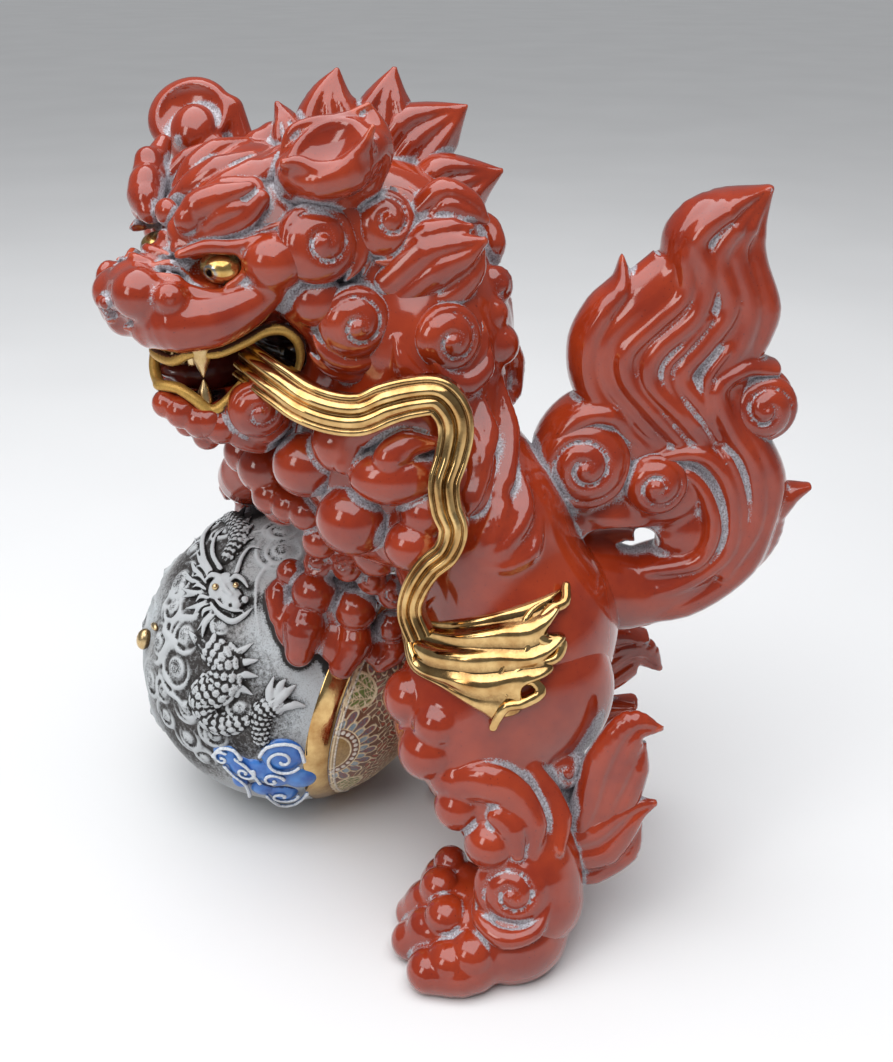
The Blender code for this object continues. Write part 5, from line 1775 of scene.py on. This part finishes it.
mirror_gold = gold("gold_lustre", (0.42, 0.22, 0.075), (0.80, 0.55, 0.24), 0.07, 0.22, 260)
tooth_gold = gold("tooth_gold", (0.50, 0.33, 0.14), (0.80, 0.62, 0.36), 0.2, 0.4, 500)
for group, slot, material in (
    (RED, "red_glaze", red_glaze()), (WHITE, "bisque_white", bisque_white()),
    (BLUE, "blue_enamel", blue_enamel()),
    (LIPS, "lip_gold", lip_gold()), (TONGUE, "tongue_glaze", tongue_glaze()),
    (GILT, "gold_lustre", tooth_gold),
    (LINES, "bisque_white", white_slip()), (SPARKS, "gold_lustre", tooth_gold),
):
    for node, clay in group:
        finish_piece(cast(clay), node, material)

eye_finish = eye_gold()
for side, node in ((1, "eye_left"), (-1, "eye_right")):
    finish_piece(eye(side), node, eye_finish)
finish_piece(gold_band(), "ball_gold_band", mirror_gold)
finish_piece(brocade_panel(), "ball_brocade_panel", brocade_enamel())
finish_piece(ribbon_stream(), "ribbon_stream", mirror_gold)
finish_piece(ribbon_end(), "ribbon_end", mirror_gold)
finish_piece(cast(ribbon_hem()), None, mirror_gold)


# ------------------------------------------------------------------ studio

def floor():
    bpy.ops.mesh.primitive_plane_add(size=60.0, location=(0, 0, 0))
    plane = bpy.context.object
    plane.name = "studio_floor"
    paint = Paint("studio_floor", Roughness=0.85, Specular_IOR_Level=0.2)
    paint.feed("Base Color", paint.mix(paint.span(paint.noise(3, 2.0), 0.3, 0.7), (0.70, 0.70, 0.70),
                                       (0.73, 0.73, 0.73)))
    plane.data.materials.append(paint.material)


def lamp(name, place, aim, size, power, colour=(1, 1, 1)):
    light = bpy.data.lights.new(name, "AREA")
    light.shape = "RECTANGLE"
    light.size, light.size_y = size
    light.energy = power
    light.color = colour
    rig = bpy.data.objects.new(name, light)
    bpy.context.scene.collection.objects.link(rig)
    rig.location = place
    rig.rotation_euler = (Vector(aim) - Vector(place)).to_track_quat("-Z", "Y").to_euler()


def daylight():
    """An even soft light from above that mirrors in nothing."""
    sun = bpy.data.lights.new("daylight", "SUN")
    sun.energy = 1.1
    sun.angle = math.radians(60)
    rig = bpy.data.objects.new("daylight", sun)
    bpy.context.scene.collection.objects.link(rig)
    rig.rotation_euler = (math.radians(8), math.radians(12), 0)
    rig.visible_glossy = False


def studio():
    floor()
    daylight()
    world = bpy.data.worlds.new("studio")
    bpy.context.scene.world = world
    world.use_nodes = True
    world.node_tree.nodes["Background"].inputs["Color"].default_value = (0.80, 0.84, 0.90, 1)
    world.node_tree.nodes["Background"].inputs["Strength"].default_value = 0.22
    lamp("sky_panel", (0.25, -0.15, 1.5), (0, 0, 0.2), (2.0, 2.0), 34, (0.97, 0.98, 1.0))
    lamp("front_panel", (1.3, -1.3, 1.1), (0, 0, 0.2), (0.5, 0.9), 6, (1.0, 0.97, 0.94))


SENSOR_WIDTH = 36.0
# The focal length and the picture's height, in the same unit, so only their ratio counts.
FOCAL_LENGTH = 1250
PICTURE_HEIGHT = 1062
CAMERA_PITCH = math.radians(25)
CAMERA_PLACE = np.array([560.0, 0.0, 446.0])


def camera():
    lens = bpy.data.cameras.new("view")
    lens.sensor_fit = "AUTO"
    lens.sensor_width = SENSOR_WIDTH
    lens.lens = SENSOR_WIDTH * FOCAL_LENGTH / PICTURE_HEIGHT
    lens.clip_start = 0.01
    rig = bpy.data.objects.new("view", lens)
    bpy.context.scene.collection.objects.link(rig)
    ahead = Vector((-math.cos(CAMERA_PITCH), 0, -math.sin(CAMERA_PITCH)))
    rig.location = Vector((CAMERA_PLACE + SHIFT) * MM)
    rig.rotation_euler = ahead.to_track_quat("-Z", "Y").to_euler()
    bpy.context.scene.camera = rig


studio()
camera()
bpy.context.scene.view_settings.view_transform = "Standard"
